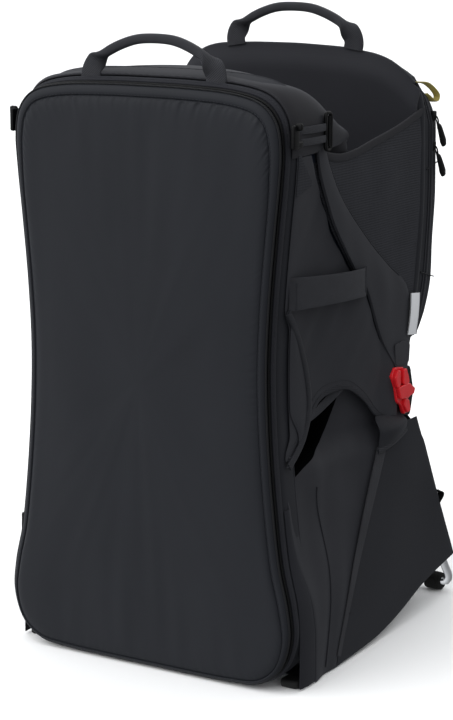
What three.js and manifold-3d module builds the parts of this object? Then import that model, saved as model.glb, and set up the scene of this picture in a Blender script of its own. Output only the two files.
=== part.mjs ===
// Framed child carrier backpack, standing on its open kickstand with the harness cover zipped on.
//
// Millimetres, +Z up, +X to the carrier's right.
// The harness side faces -Y and the child sits behind it, facing it.
// Lengths along Y are written in the design's own frame and moved by CENTRE_Y at the end, so that the
// origin is the middle of the footprint on the floor.
import * as THREE from "three";
import { mergeVertices } from "three/addons/utils/BufferGeometryUtils.js";
import Module from "manifold-3d";

const wasm = await Module();
wasm.setup();

// ---- Driving dimensions -----------------------------------------------------------------------------------

const CENTRE_Y = 59; // design Y of the middle of the footprint
const SIDES = { left: -1, right: 1 };

// Half outline of the harness side, from the bottom centre up to the top centre, as (x, z): an hourglass.
const OUTLINE = [
  [0, 2.5], [60, 2.5], [112, 3.5], [150, 8], [176, 28],
  [188, 62], [185, 100], [174, 148], [165, 220], [159, 295],
  [157, 365], [160, 435], [166, 505], [172, 565], [174, 603],
  [168, 632], [148, 652], [110, 661], [55, 664], [0, 664.5],
];
const OUTLINE_STEPS = 56;
const WAIST_Z = 335; // height that the cover's loops shrink towards
const FLARE = 15; // rise of the band's top edge from the cover to the frame

const COVER_RIM_Y = -160;
const COVER_CROWN = 10;
const COVER_THICK = 4;
const BAND_FRONT_Y = -155.5;
const BAND_REAR_Y = -106;
const BAND_THICK = 3;
const HOOP = { y: -113, inset: 11, r: 6.5, rise: 10 };

const HUB = { y: 128, z: 288, inner: 156, outer: 174 }; // side hinge of the kickstand
const PIVOT_R = 4;
const KICKSTAND = { r: 5, topX: 149, footX: 170, footY: 275, footZ: 13 };
const REAR_FOOT = { r: 13, length: 22, x: 147 };
const FRONT_LEG = { r: 6, topX: 166, topY: 104, topZ: 250, footX: 168, footY: -88, footZ: 40 };
const FRONT_FOOT = { x: 173, y: -121, width: 26, depth: 28, height: 9.5 };

const SIDE_X = 168; // child seat's side fabric
const SKIRT_X = 178;
const HANDLE = { halfWidth: 81, height: 54, r: 5, gap: 6 };
const FRONT_HANDLE = { y: -140, z: 668 };
const REAR_HANDLE = { y: 168, z: 687 };

// Side view tables, as (z, y): the seat's back wall, and the outer face of the pocket behind it
// and of the skirt.
const INNER_WALL = [[322, 128], [335, 136], [372, 148], [420, 160], [500, 170], [600, 170], [690, 165]];
const OUTER_WALL = [
  [322, 166], [338, 175], [367, 191], [400, 206], [431, 212], [516, 220], [608, 217], [640, 200], [676, 186],
];
const RIM = [[-48, 593], [-8, 585], [30, 586], [74, 594], [130, 605], [183, 621]]; // (y, z)
const ARCH = [[-103, 262], [-90, 283], [-54, 311], [-6, 317], [46, 291], [89, 262], [108, 262]]; // (y, z)

// ---- Shared shape code ------------------------------------------------------------------------------------

const lerp = THREE.MathUtils.lerp;
const smooth = THREE.MathUtils.smoothstep;

// Value at x of a table of (x, value) rows, straight between rows and flat past the ends.
function table(rows, x) {
  const next = rows.findIndex((row) => row[0] >= x);
  if (next === 0) return rows[0][1];
  if (next < 0) return rows[rows.length - 1][1];
  const [a, b] = [rows[next - 1], rows[next]];
  return lerp(a[1], b[1], (x - a[0]) / (b[0] - a[0]));
}

const innerWallY = (z) => table(INNER_WALL, z);
const outerWallY = (z) => table(OUTER_WALL, z);
const SIDE_ROWS = OUTLINE.slice(5, 15).map(([x, z]) => [z, x]);
const halfWidth = (z) => table(SIDE_ROWS, z);
const frontLegY = (z) => {
  const { topY, topZ, footY, footZ } = FRONT_LEG;
  return footY + ((z - footZ) * (topY - footY)) / (topZ - footZ);
};

// Turns a geometry's faces outwards if they point in.
function facingOut(geometry) {
  const p = geometry.getAttribute("position");
  const index = geometry.index.array;
  const [a, b, c] = [new THREE.Vector3(), new THREE.Vector3(), new THREE.Vector3()];
  let volume = 0;
  for (let i = 0; i < index.length; i += 3) {
    a.fromBufferAttribute(p, index[i]);
    b.fromBufferAttribute(p, index[i + 1]);
    c.fromBufferAttribute(p, index[i + 2]);
    volume += a.dot(b.cross(c));
  }
  if (volume < 0) {
    for (let i = 0; i < index.length; i += 3) {
      [index[i + 1], index[i + 2]] = [index[i + 2], index[i + 1]];
    }
  }
  return geometry;
}

function closedGeometry(points, triangles) {
  const geometry = new THREE.BufferGeometry().setFromPoints(points);
  geometry.setIndex(triangles.flat());
  return facingOut(geometry);
}

// Quads between consecutive loops of equal length.
function bands(loopCount, size, closed) {
  const triangles = [];
  const last = closed ? loopCount : loopCount - 1;
  for (let k = 0; k < last; k++) {
    const next = (k + 1) % loopCount;
    for (let i = 0; i < size; i++) {
      const j = (i + 1) % size;
      const [a, b, c, d] = [k * size + i, k * size + j, next * size + j, next * size + i];
      triangles.push([a, b, c], [a, c, d]);
    }
  }
  return triangles;
}

// A ring-shaped solid: each loop runs round the ring, and the loops follow each other round the section.
function ringSolid(loops) {
  return closedGeometry(loops.flat(), bands(loops.length, loops[0].length, true));
}

// A solid that starts at one point, passes through the loops and ends at another point.
function loftSolid(start, loops, end) {
  const size = loops[0].length;
  const points = [...loops.flat(), start, end];
  const triangles = bands(loops.length, size, false);
  const [first, last] = [points.length - 2, points.length - 1];
  const lastLoop = (loops.length - 1) * size;
  for (let i = 0; i < size; i++) {
    const j = (i + 1) % size;
    triangles.push([first, j, i], [last, lastLoop + i, lastLoop + j]);
  }
  return closedGeometry(points, triangles);
}

// A sheet of the given thickness on the surface at(u, v), with u and v from 0 to 1.
function sheetSolid(at, nu, nv, thickness) {
  const faces = [[], []];
  const step = 1e-3;
  for (let i = 0; i <= nu; i++) {
    for (let j = 0; j <= nv; j++) {
      const [u, v] = [i / nu, j / nv];
      const du = at(Math.min(u + step, 1), v).sub(at(Math.max(u - step, 0), v));
      const dv = at(u, Math.min(v + step, 1)).sub(at(u, Math.max(v - step, 0)));
      const normal = du.cross(dv).normalize();
      faces[0].push(at(u, v).addScaledVector(normal, thickness / 2));
      faces[1].push(at(u, v).addScaledVector(normal, -thickness / 2));
    }
  }
  const under = faces[0].length;
  const id = (i, j) => i * (nv + 1) + j;
  const triangles = [];
  const quad = (a, b, c, d) => triangles.push([a, b, c], [a, c, d]);
  for (let i = 0; i < nu; i++) {
    for (let j = 0; j < nv; j++) {
      const [a, b, c, d] = [id(i, j), id(i + 1, j), id(i + 1, j + 1), id(i, j + 1)];
      quad(a, b, c, d);
      quad(under + a, under + d, under + c, under + b);
    }
  }
  const rim = [];
  for (let i = 0; i < nu; i++) rim.push(id(i, 0));
  for (let j = 0; j < nv; j++) rim.push(id(nu, j));
  for (let i = nu; i > 0; i--) rim.push(id(i, nv));
  for (let j = nv; j > 0; j--) rim.push(id(0, j));
  rim.forEach((a, k) => {
    const b = rim[(k + 1) % rim.length];
    quad(b, a, under + a, under + b);
  });
  return closedGeometry([...faces[0], ...faces[1]], triangles);
}

const circle = (r, sides, turn = 0) => {
  const points = [];
  for (let i = 0; i < sides; i++) {
    const angle = ((i + turn) / sides) * 2 * Math.PI;
    points.push(new THREE.Vector2(r * Math.cos(angle), r * Math.sin(angle)));
  }
  return points;
};

// A round bar through the points, as smooth as its number of steps.
function bar(points, r, steps, sides = 8, tension = 0.5) {
  const places = points.map((p) => new THREE.Vector3(...p));
  const path = new THREE.CatmullRomCurve3(places, false, "catmullrom", tension);
  return new THREE.ExtrudeGeometry(new THREE.Shape(circle(r, sides)), { steps, extrudePath: path });
}

// A side-view outline, as (y, z) points, extruded along +X from x0 to x1.
function sidePlate(points, x0, x1, holes = []) {
  const shape = new THREE.Shape(points.map((p) => new THREE.Vector2(...p)));
  holes.forEach((hole) => shape.holes.push(new THREE.Path(hole.map((p) => new THREE.Vector2(...p)))));
  const geometry = new THREE.ExtrudeGeometry(shape, { depth: x1 - x0, bevelEnabled: false });
  const turned = new THREE.Matrix4().set(0, 0, 1, x0, 1, 0, 0, 0, 0, 1, 0, 0, 0, 0, 0, 1);
  return geometry.applyMatrix4(turned);
}

const block = (width, depth, height, x, y, z) =>
  new THREE.BoxGeometry(width, depth, height).translate(x, y, z);

function solidOf(geometry) {
  const plain = new THREE.BufferGeometry().setAttribute("position", geometry.getAttribute("position"));
  const merged = mergeVertices(geometry.index ? plain.setIndex(geometry.index) : plain, 1e-3);
  const mesh = { numProp: 3, vertProperties: merged.attributes.position.array, triVerts: merged.index.array };
  mesh.triVerts = new Uint32Array(mesh.triVerts);
  return new wasm.Manifold(new wasm.Mesh(mesh));
}

function geometryOf(solid) {
  const { vertProperties, triVerts } = solid.getMesh();
  const geometry = new THREE.BufferGeometry();
  geometry.setAttribute("position", new THREE.BufferAttribute(vertProperties, 3));
  return geometry.setIndex(new THREE.BufferAttribute(triVerts, 1));
}

// Mirrors a geometry made for the right-hand side when side is -1.
function onSide(geometry, side) {
  if (side > 0) return geometry;
  const flipped = mergeVertices(
    new THREE.BufferGeometry()
      .setAttribute("position", geometry.getAttribute("position").clone())
      .setIndex(geometry.index ? geometry.index.clone() : null),
    1e-4,
  );
  flipped.applyMatrix4(new THREE.Matrix4().makeScale(-1, 1, 1));
  return facingOut(flipped);
}

// ---- Materials --------------------------------------------------------------------------------------------

const cloth = (color) => new THREE.MeshStandardMaterial({ color, roughness: 0.85, metalness: 0 });
const MATERIAL = {
  shell: cloth(0x292a2f),
  mesh: cloth(0x2b2d31),
  lining: cloth(0x1d2430),
  webbing: cloth(0x34353a),
  foam: cloth(0x303238),
  plastic: new THREE.MeshStandardMaterial({ color: 0x141516, roughness: 0.5, metalness: 0 }),
  latch: new THREE.MeshStandardMaterial({ color: 0xd0202a, roughness: 0.4, metalness: 0 }),
  rubber: new THREE.MeshStandardMaterial({ color: 0x1b1c1c, roughness: 0.9, metalness: 0 }),
  tube: new THREE.MeshStandardMaterial({ color: 0xb4b6b8, roughness: 0.35, metalness: 0.9 }),
};

const carrier = new THREE.Group();
carrier.position.y = -CENTRE_Y;

function add(name, geometry, material) {
  const mesh = new THREE.Mesh(geometry, material);
  mesh.name = name;
  carrier.add(mesh);
}

function addPair(name, makeRight, material) {
  for (const [label, side] of Object.entries(SIDES)) {
    add(`${name}_${label}`, onSide(makeRight(), side), material);
  }
}

// ---- Harness side: cover, band, frame hoop ----------------------------------------------------------------

const mirrored = OUTLINE.slice(1, -1).reverse().map(([x, z]) => [-x, z]);
const outlineCurve = new THREE.CatmullRomCurve3(
  [...OUTLINE, ...mirrored].map(([x, z]) => new THREE.Vector3(x, 0, z)),
  true,
  "catmullrom",
  0.5,
);
const outlinePoints = outlineCurve.getSpacedPoints(OUTLINE_STEPS).slice(0, OUTLINE_STEPS);

// The outline moved inwards by inset, at depth y, with its top raised by up to rise.
function outlineLoop(inset, y, rise = 0) {
  return outlinePoints.map((p, i) => {
    const before = outlinePoints[(i + OUTLINE_STEPS - 1) % OUTLINE_STEPS];
    const after = outlinePoints[(i + 1) % OUTLINE_STEPS];
    const along = after.clone().sub(before).normalize();
    const inward = new THREE.Vector3(-along.z, 0, along.x);
    const moved = p.clone().addScaledVector(inward, inset);
    moved.z += rise * smooth(moved.z, 540, 650);
    moved.y = y;
    return moved;
  });
}

const shrunk = (loop, share, y) => {
  return loop.map((p) => new THREE.Vector3(p.x * share, y, WAIST_Z + (p.z - WAIST_Z) * share));
};

// A crowned panel on the outline: its front face rises by crown towards the middle.
function crownedPanel(inset, y, crown, thickness) {
  const rim = outlineLoop(inset, y);
  const shares = [0.35, 0.7, 0.9, 1];
  const frontY = (share) => y - crown * (1 - share ** 3);
  const front = shares.map((share) => shrunk(rim, share, frontY(share)));
  const back = [...shares].reverse().map((share) => shrunk(rim, share, frontY(share) + thickness));
  const middle = (depth) => new THREE.Vector3(0, depth, WAIST_Z);
  return loftSolid(middle(y - crown), [...front, ...back], middle(y - crown + thickness));
}

function gussetBand() {
  return ringSolid([
    outlineLoop(0, BAND_FRONT_Y),
    outlineLoop(0, BAND_REAR_Y, FLARE),
    outlineLoop(BAND_THICK, BAND_REAR_Y, FLARE),
    outlineLoop(BAND_THICK, BAND_FRONT_Y),
  ]);
}

function backHoop() {
  return ringSolid(circle(HOOP.r, 8).map((p) => outlineLoop(HOOP.inset + p.x, HOOP.y + p.y, HOOP.rise)));
}

add("harness_cover", crownedPanel(3, COVER_RIM_Y, COVER_CROWN, COVER_THICK), MATERIAL.shell);
add("gusset_band", gussetBand(), MATERIAL.shell);
add("back_hoop_tube", backHoop(), MATERIAL.tube);
add("back_mesh_panel", crownedPanel(9, -123.5, -2, 3), MATERIAL.mesh);
add("cover_zip_slider", block(4, 8, 14, -175.5, -161, 148), MATERIAL.plastic);

// ---- Stowed harness ---------------------------------------------------------------------------------------

function shoulderStrap() {
  const centreX = (v) => lerp(42, 88, smooth(v, 0, 1));
  const crownY = (u) => -134 - 3 * Math.sin(Math.PI * u);
  const at = (u, v) => new THREE.Vector3(centreX(v) + (u - 0.5) * 58, crownY(u), lerp(585, 312, v));
  return sheetSolid(at, 4, 8, 12);
}

function hipWing() {
  const at = (u, v) => {
    const height = lerp(95, 60, u);
    return new THREE.Vector3(lerp(16, 150, u), -135, 122 + (v - 0.5) * height);
  };
  return sheetSolid(at, 6, 3, 13);
}

function lumbarPad() {
  const at = (u, v) => {
    const x = (u - 0.5) * 230;
    return new THREE.Vector3(x, -132 - 3 * Math.cos((Math.PI * x) / 230), lerp(184, 300, v));
  };
  return sheetSolid(at, 6, 4, 9);
}

addPair("shoulder_strap", shoulderStrap, MATERIAL.foam);
addPair("hip_belt_wing", hipWing, MATERIAL.foam);
add("lumbar_pad", lumbarPad(), MATERIAL.foam);
add("hip_belt_buckle", block(58, 8, 40, 0, -147, 122), MATERIAL.plastic);

// ---- Frame, hubs, latches, kickstand ----------------------------------------------------------------------

const HUB_OUTLINE = [[112, 262], [150, 256], [159, 285], [149, 317], [119, 322], [103, 296]];
const LATCH_OUTLINE = [
  [109, 322], [134, 317], [138, 302], [154, 286], [155, 272], [142, 259], [128, 262], [124, 276], [104, 290],
  [97, 306],
];

function frontLeg() {
  const { topX, topY, topZ, footX, footY, footZ, r } = FRONT_LEG;
  const middle = [(topX + footX) / 2, (topY + footY) / 2, (topZ + footZ) / 2];
  return bar([[topX, topY, topZ], middle, [footX, footY, footZ]], r, 2, 12);
}

function kickstandTube() {
  const { r, topX, footX, footY, footZ } = KICKSTAND;
  const half = [
    [topX, HUB.y, HUB.z],
    [topX + 1, HUB.y + 36, HUB.z - 66],
    [topX + 10, HUB.y + 90, HUB.z - 166],
    [footX - 2, footY - 11, footZ + 26],
    [footX, footY - 3, footZ + 11],
    [footX - 9, footY, footZ],
    [footX - 22, footY, footZ],
  ];
  const other = half.map(([x, y, z]) => [-x, y, z]).reverse();
  const tube = solidOf(bar([...half, [0, footY, footZ], ...other], r, 52));
  const eye = (x, radius, length) => {
    const barrel = new THREE.CylinderGeometry(radius, radius, length, 24).rotateZ(Math.PI / 2);
    return solidOf(barrel.translate(x, HUB.y, HUB.z));
  };
  const bosses = tube.add(eye(topX, 10, 11)).add(eye(-topX, 10, 11));
  const bore = PIVOT_R + 0.08;
  return geometryOf(bosses.subtract(eye(topX, bore, 30)).subtract(eye(-topX, bore, 30)));
}

const pivotPin = () => {
  const pin = new THREE.CylinderGeometry(PIVOT_R, PIVOT_R, 13, 24).rotateZ(Math.PI / 2);
  return pin.translate(HUB.inner - 0.5 - 6.5, HUB.y, HUB.z);
};

// A rubber sleeve on the crossbar, with one flat of its outline on the floor.
function rearFoot() {
  const { r, length, x } = REAR_FOOT;
  const bore = KICKSTAND.r + 0.5;
  const section = new THREE.Shape(circle(r / Math.cos(Math.PI / 12), 12, 0.5));
  section.holes.push(new THREE.Path(circle(bore, 12, 0.5)));
  const sleeve = new THREE.ExtrudeGeometry(section, { depth: length, bevelEnabled: false });
  return sleeve.rotateY(Math.PI / 2).translate(x - length / 2, KICKSTAND.footY, KICKSTAND.footZ);
}

function frontFoot() {
  const { x, y, width, depth, height } = FRONT_FOOT;
  return block(width, depth, height, x, y, height / 2);
}

function cockpitFrame() {
  const half = [
    [160, 148, 325], [160, 157, 372], [160, 170, 420], [160, 180, 500], [159, 180, 585], [152, 178, 632],
    [128, 176, 661], [80, 175, 673], [0, 175, 676],
  ];
  const other = half.slice(0, -1).map(([x, y, z]) => [-x, y, z]).reverse();
  return bar([...half, ...other], 5, 44);
}

addPair("front_leg_tube", frontLeg, MATERIAL.tube);
addPair("hinge_hub", () => sidePlate(HUB_OUTLINE, HUB.inner, HUB.outer), MATERIAL.plastic);
addPair("latch_lever", () => sidePlate(LATCH_OUTLINE, HUB.outer + 0.6, HUB.outer + 11), MATERIAL.latch);
addPair("pivot_pin", pivotPin, MATERIAL.tube);
add("kickstand_tube", kickstandTube(), MATERIAL.tube);
addPair("rear_foot", rearFoot, MATERIAL.rubber);
addPair("front_foot", frontFoot, MATERIAL.rubber);
add("cockpit_frame_tube", cockpitFrame(), MATERIAL.tube);

// ---- Child seat -------------------------------------------------------------------------------------------

// The smooth collar over the top of the harness side, as (x, y, z) along its front seam and its rear edge.
const COLLAR_FRONT = [
  [161, -100, 594], [162, -100, 610], [160, -100, 634], [146, -100, 658], [112, -100, 672], [56, -100, 678],
  [0, -100, 679],
];
const COLLAR_REAR = [
  [159, 14, 600], [160, 2, 610], [154, -12, 624], [136, -30, 643],
  [112, -42, 659], [60, -52, 671], [0, -55, 674],
];

function symmetricCurve(half) {
  const other = half.slice(0, -1).map(([x, y, z]) => [-x, y, z]).reverse();
  return new THREE.CatmullRomCurve3([...half, ...other].map((p) => new THREE.Vector3(...p)));
}

function collarPad() {
  const [front, rear] = [symmetricCurve(COLLAR_FRONT), symmetricCurve(COLLAR_REAR)];
  const at = (u, v) => {
    const p = front.getPoint(u).lerp(rear.getPoint(u), v);
    p.z += 5 * Math.sin(Math.PI * v);
    return p;
  };
  return sheetSolid(at, 20, 4, 8);
}

// Height of the seam that runs from the top strap anchor down to the hub.
const diagonalZ = (y) => 590 - ((y + 85) * 272) / 193;
const diagonalY = (z) => -85 + ((590 - z) * 193) / 272;

function meshSide() {
  const rimZ = (u) => table(RIM, lerp(-60, 178, u));
  const at = (u, v) => {
    const z = lerp(330, rimZ(u), v);
    return new THREE.Vector3(SIDE_X, lerp(diagonalY(z) + 6, innerWallY(z) + 6, u), z);
  };
  return sheetSolid(at, 6, 8, 2);
}

const wingX = (y, z) => lerp(halfWidth(z), 171, smooth(y, -103, 60));

function wingPanel() {
  const at = (u, v) => {
    const y = lerp(-103, 98, u);
    const low = table(ARCH, y);
    const high = Math.min(diagonalZ(y) - 2, 585);
    const z = lerp(low, high, v);
    const slot = 9 * smooth(z, 255, 270) * (1 - smooth(z, 405, 425)) * (1 - u);
    return new THREE.Vector3(wingX(y, z), y + slot, z);
  };
  return sheetSolid(at, 12, 8, 2.5);
}

function tensionWing() {
  const [top, low, rear] = [[-62, 612], [108, 334], [94, 448]];
  const at = (u, v) => {
    const spread = 0.06 + 0.94 * v;
    const y = lerp(top[0], lerp(low[0], rear[0], u * spread), v) + 5 * u;
    const z = lerp(top[1], lerp(low[1], rear[1], u), v);
    return new THREE.Vector3(SIDE_X + 4, y, z);
  };
  return sheetSolid(at, 3, 6, 2);
}

function cockpitWall() {
  const topZ = (x) => 684 - 40 * (Math.abs(x) / 171) ** 4;
  const at = (u, v) => {
    const x = lerp(-152, 152, u);
    const z = lerp(328, topZ(x), v);
    return new THREE.Vector3(x, innerWallY(z), z);
  };
  return sheetSolid(at, 10, 8, 6);
}

function rearPack() {
  const levels = [
    [334, 148], [372, 160], [430, 163], [516, 163], [600, 162], [636, 156], [660, 138], [671, 110],
  ];
  const loops = levels.map(([z, half]) => {
    const [front, rear] = [innerWallY(z) + 17.5, outerWallY(z)];
    const right = [
      [half, front], [half, rear - 6], [half - 8, rear], [half * 0.55, rear + 9], [0, rear + 13],
    ];
    const left = right.slice(0, -1).map(([x, y]) => [-x, y]).reverse();
    return [...right, ...left].map(([x, y]) => new THREE.Vector3(x, y, z));
  });
  const [low, high] = [levels[0][0], levels[levels.length - 1][0]];
  return loftSolid(new THREE.Vector3(0, 165, low), loops, new THREE.Vector3(0, 185, high + 2));
}

function triglide() {
  const outer = [[-71, 596], [-60, 596], [-60, 634], [-71, 634]];
  const slot = [[-68, 601], [-68, 629], [-63, 629], [-63, 601]];
  return sidePlate(outer, 177, 181, [slot]);
}

function sideGrab() {
  const at = (u, v) => {
    const y = lerp(-96, 30, u);
    const z = lerp(lerp(425, 461, v), lerp(425, 447, v), u);
    return new THREE.Vector3(wingX(y, z) + 4 + 12 * Math.sin(Math.PI * u), y, z);
  };
  return sheetSolid(at, 8, 1, 2.4);
}

const STIRRUP = [[-99, 420], [-84, 396], [-68, 356], [-62, 318], [-70, 284], [-99, 257]];

function stirrupStrap() {
  const path = new THREE.SplineCurve(STIRRUP.map((p) => new THREE.Vector2(...p)));
  const at = (u, v) => {
    const p = path.getPoint(u);
    const across = path.getTangent(u).rotateAround(new THREE.Vector2(), Math.PI / 2);
    p.addScaledVector(across, (v - 0.5) * 12);
    return new THREE.Vector3(wingX(p.x, p.y) + 4 + 4 * Math.sin(Math.PI * u), p.x, p.y);
  };
  return sheetSolid(at, 10, 1, 2);
}

add("collar_pad", collarPad(), MATERIAL.shell);
addPair("mesh_side", meshSide, MATERIAL.mesh);
addPair("wing_panel", wingPanel, MATERIAL.shell);
addPair("tension_wing", tensionWing, MATERIAL.shell);
add("cockpit_back_wall", cockpitWall(), MATERIAL.lining);
add("rear_pack", rearPack(), MATERIAL.shell);
addPair("triglide", triglide, MATERIAL.plastic);
addPair("triglide_strap", () => block(2, 30, 20, 178.5, -87, 615), MATERIAL.webbing);
addPair("side_grab_strap", sideGrab, MATERIAL.webbing);
addPair("stirrup_strap", stirrupStrap, MATERIAL.webbing);

const frontWall = (u, v) => new THREE.Vector3(lerp(-140, 140, u), -95, lerp(318, 652, v));
add("cockpit_front_wall", sheetSolid(frontWall, 4, 4, 4), MATERIAL.lining);

const seatShell = (u, v) => {
  const x = lerp(-88, 88, u);
  return new THREE.Vector3(x, lerp(-91, 118, v), 312 - 14 * (Math.abs(x) / 88) ** 3);
};
add("seat_shell", sheetSolid(seatShell, 8, 4, 4), MATERIAL.lining);

const seatPad = (u, v) => {
  const [x, y] = [lerp(-60, 60, u), lerp(-55, 105, v)];
  return new THREE.Vector3(x, y, 328 + 5 * Math.cos((Math.PI * x) / 120));
};
add("seat_pad", sheetSolid(seatPad, 6, 5, 16), MATERIAL.foam);

const childStrap = (u, v) => {
  const z = lerp(395, 640, v);
  return new THREE.Vector3(lerp(24, 60, u), innerWallY(z) - 7.5, z);
};
addPair("child_strap", () => sheetSolid(childStrap, 2, 6, 6), MATERIAL.foam);
add("child_buckle", block(40, 9, 48, 0, innerWallY(430) - 13, 432), MATERIAL.plastic);

// ---- Lower compartment ------------------------------------------------------------------------------------

// Fabric between the harness side and the front leg: it curls inwards under the leg opening to the seat.
function skirtFront() {
  const at = (u, v) => {
    const z = lerp(42, 258, v);
    const curl = smooth(z, 120, 285) ** 1.3 * (1 - u ** 3);
    return new THREE.Vector3(lerp(lerp(184, 179, v), 92, curl), lerp(-101, frontLegY(z) - 9, u), z);
  };
  return sheetSolid(at, 8, 8, 2);
}

const FLOOR_EDGE = [[-100, 7], [62, 9], [120, 21], [182, 39], [268, 55]]; // (y, z) of the skirt's lower edge

function skirtSide() {
  const at = (u, v) => {
    const low = lerp(-96, 268, u);
    const y = lerp(lerp(98, 157, u), low, v);
    const z = lerp(252, table(FLOOR_EDGE, low) + 1, v);
    return new THREE.Vector3(lerp(SKIRT_X, lerp(185, 178, u), v), y, z);
  };
  return sheetSolid(at, 8, 6, 2);
}

const skirtRear = (u, v) => new THREE.Vector3(lerp(-172, 172, u), lerp(168, 270, v), lerp(250, 56, v));
const skirtFloor = (u, v) => {
  const y = lerp(-98, 244, v);
  return new THREE.Vector3(lerp(-146, 146, u), y, table(FLOOR_EDGE, y) + 2);
};

addPair("skirt_front", skirtFront, MATERIAL.shell);
addPair("skirt_side", skirtSide, MATERIAL.shell);
add("skirt_rear", sheetSolid(skirtRear, 6, 4, 2), MATERIAL.shell);
add("skirt_floor", sheetSolid(skirtFloor, 4, 6, 2), MATERIAL.shell);

// ---- Carry handles and zips -------------------------------------------------------------------------------

function carryHandle({ y, z }) {
  const { halfWidth: half, height, r, gap } = HANDLE;
  const shape = [[half, 0], [half - 1, 0.28], [half - 10, 0.58], [half - 40, 0.9], [0, 1]];
  const right = shape.map(([x, share]) => [x, y, z + gap + share * (height - gap)]);
  const left = right.slice(0, -1).map(([x, ...rest]) => [-x, ...rest]);
  return bar([...right, ...left.reverse()], r, 24);
}

add("front_handle", carryHandle(FRONT_HANDLE), MATERIAL.webbing);
add("rear_handle", carryHandle(REAR_HANDLE), MATERIAL.webbing);

const ZIP = { x: 166, y: 213 };
const SLIDERS = { upper: 608, lower: 572 };
for (const [label, z] of Object.entries(SLIDERS)) {
  add(`zip_slider_${label}`, block(5, 8, 12, ZIP.x, ZIP.y, z), MATERIAL.plastic);
  add(`zip_puller_${label}`, block(4, 5, 34, ZIP.x + 5.5, ZIP.y, z - 16), MATERIAL.plastic);
}

export default carrier;
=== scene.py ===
"""Looks of the framed child carrier backpack: shells, padding, webbing, hardware, camera and light.

Lengths here are millimetres in the design's own frame, as in the part's source: X to the carrier's right, the
harness side facing -Y, +Z up, and Y moved back by CENTRE_Y. world() turns them into the row frame's metres.
"""
import math

import bpy
import numpy as np
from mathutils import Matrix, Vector

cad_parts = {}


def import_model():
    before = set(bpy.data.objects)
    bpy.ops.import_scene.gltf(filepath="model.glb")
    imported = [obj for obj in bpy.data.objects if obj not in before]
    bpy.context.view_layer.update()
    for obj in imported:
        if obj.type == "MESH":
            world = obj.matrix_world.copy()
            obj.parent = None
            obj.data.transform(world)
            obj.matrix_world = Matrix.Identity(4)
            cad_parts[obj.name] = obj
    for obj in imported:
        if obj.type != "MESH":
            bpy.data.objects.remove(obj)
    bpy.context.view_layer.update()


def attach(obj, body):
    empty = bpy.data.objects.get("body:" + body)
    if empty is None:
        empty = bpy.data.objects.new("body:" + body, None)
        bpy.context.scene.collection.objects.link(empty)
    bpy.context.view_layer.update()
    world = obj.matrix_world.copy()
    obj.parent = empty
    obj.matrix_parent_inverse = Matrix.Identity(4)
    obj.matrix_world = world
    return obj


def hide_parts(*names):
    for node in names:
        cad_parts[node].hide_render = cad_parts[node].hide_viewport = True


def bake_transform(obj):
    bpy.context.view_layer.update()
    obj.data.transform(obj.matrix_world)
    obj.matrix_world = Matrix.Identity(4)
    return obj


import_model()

MM = 0.001
CENTRE_Y = 59.0
SIDES = {"left": -1, "right": 1}
TAU = 2 * math.pi
NOISE_WAVES = 5
UP, BACK, RIGHT = (0, 0, 1), (0, 1, 0), (1, 0, 0)

PUFF_FRAMES = 20
PUFF_REACH = 3.0  # mm
PUFF_START = 0.8  # share of its thickness that a pad has before it is filled
VOXEL = 5.0  # mm
PRESSURE = 4.0
SHOULDER_PAD, HIP_PAD, LUMBAR_PAD, SEAT_PAD, CHILD_PAD = 12, 12, 9, 15, 6  # thicknesses, mm

WORLD_DIM, WORLD_BRIGHT = 0.25, 1.45  # on the right behind, and on the left in front
KEY_STRENGTH = 1.3
RIM_POWER = 10
SUN_WIDTH = 60  # degrees
CAMERA_AZIMUTH, CAMERA_PITCH, CAMERA_LENS = 31.84, 11.914, 110.59  # degrees, degrees, mm
CAMERA_AWAY, CAMERA_ASIDE, CAMERA_HEIGHT = 2.5406, 0.0073, 0.8669  # m
FLOOR_RADIUS = 60  # m

# Driving shape, shared with the CAD part.
OUTLINE = [
    (0, 2.5), (60, 2.5), (112, 3.5), (150, 8), (176, 28), (188, 62), (185, 100), (174, 148), (165, 220),
    (159, 295), (157, 365), (160, 435), (166, 505), (172, 565), (174, 603), (168, 632), (148, 652),
    (110, 661), (55, 664), (0, 664.5),
]
WAIST_Z = 335.0
FLARE = 15.0
BAND_FRONT_Y, BAND_REAR_Y = -155.5, -106.0
HUB_Y, HUB_Z = 128.0, 288.0
INNER_WALL = [(322, 128), (335, 136), (372, 148), (420, 160), (500, 170), (600, 170), (690, 165)]  # (z, y)
OUTER_WALL = [
    (322, 166), (338, 175), (367, 191), (400, 206), (431, 212), (516, 220), (608, 217), (640, 200),
    (676, 186),
]
ARCH = [  # (y, z) of the leg opening's upper edge
    (-129, 258), (-112, 259), (-96, 274), (-84, 290), (-54, 311), (-24, 318), (6, 316), (40, 297),
    (68, 274), (88, 262), (112, 260),
]
WING_FRONT_Y = -128.0
FLOOR_EDGE = [(-130, 1.5), (-50, 1.5), (0, 4), (62, 9), (120, 21), (182, 39), (268, 55)]  # (y, z)
# Where panels that cross the kickstand's joint would stop following the frame and start following the bow; put()
# turns these points into metres and uses them no further, so the panels stay fixed.
FOLDS = {"folding": [(0, -20, 150), (0, 190, 110)], "folding back": [(0, 150, 300), (0, 190, 215)]}


# ---- Small mathematics --------------------------------------------------------------------------------------------

def smooth(x, low, high):
    t = np.clip((np.asarray(x, float) - low) / (high - low), 0, 1)
    return t * t * (3 - 2 * t)


def lerp(a, b, t):
    return a + (b - a) * t


def hump(t, power=1.0):
    """0 at both ends of 0..1 and 1 in the middle."""
    return np.clip(np.sin(np.pi * np.clip(t, 0, 1)), 0, 1) ** power


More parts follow.
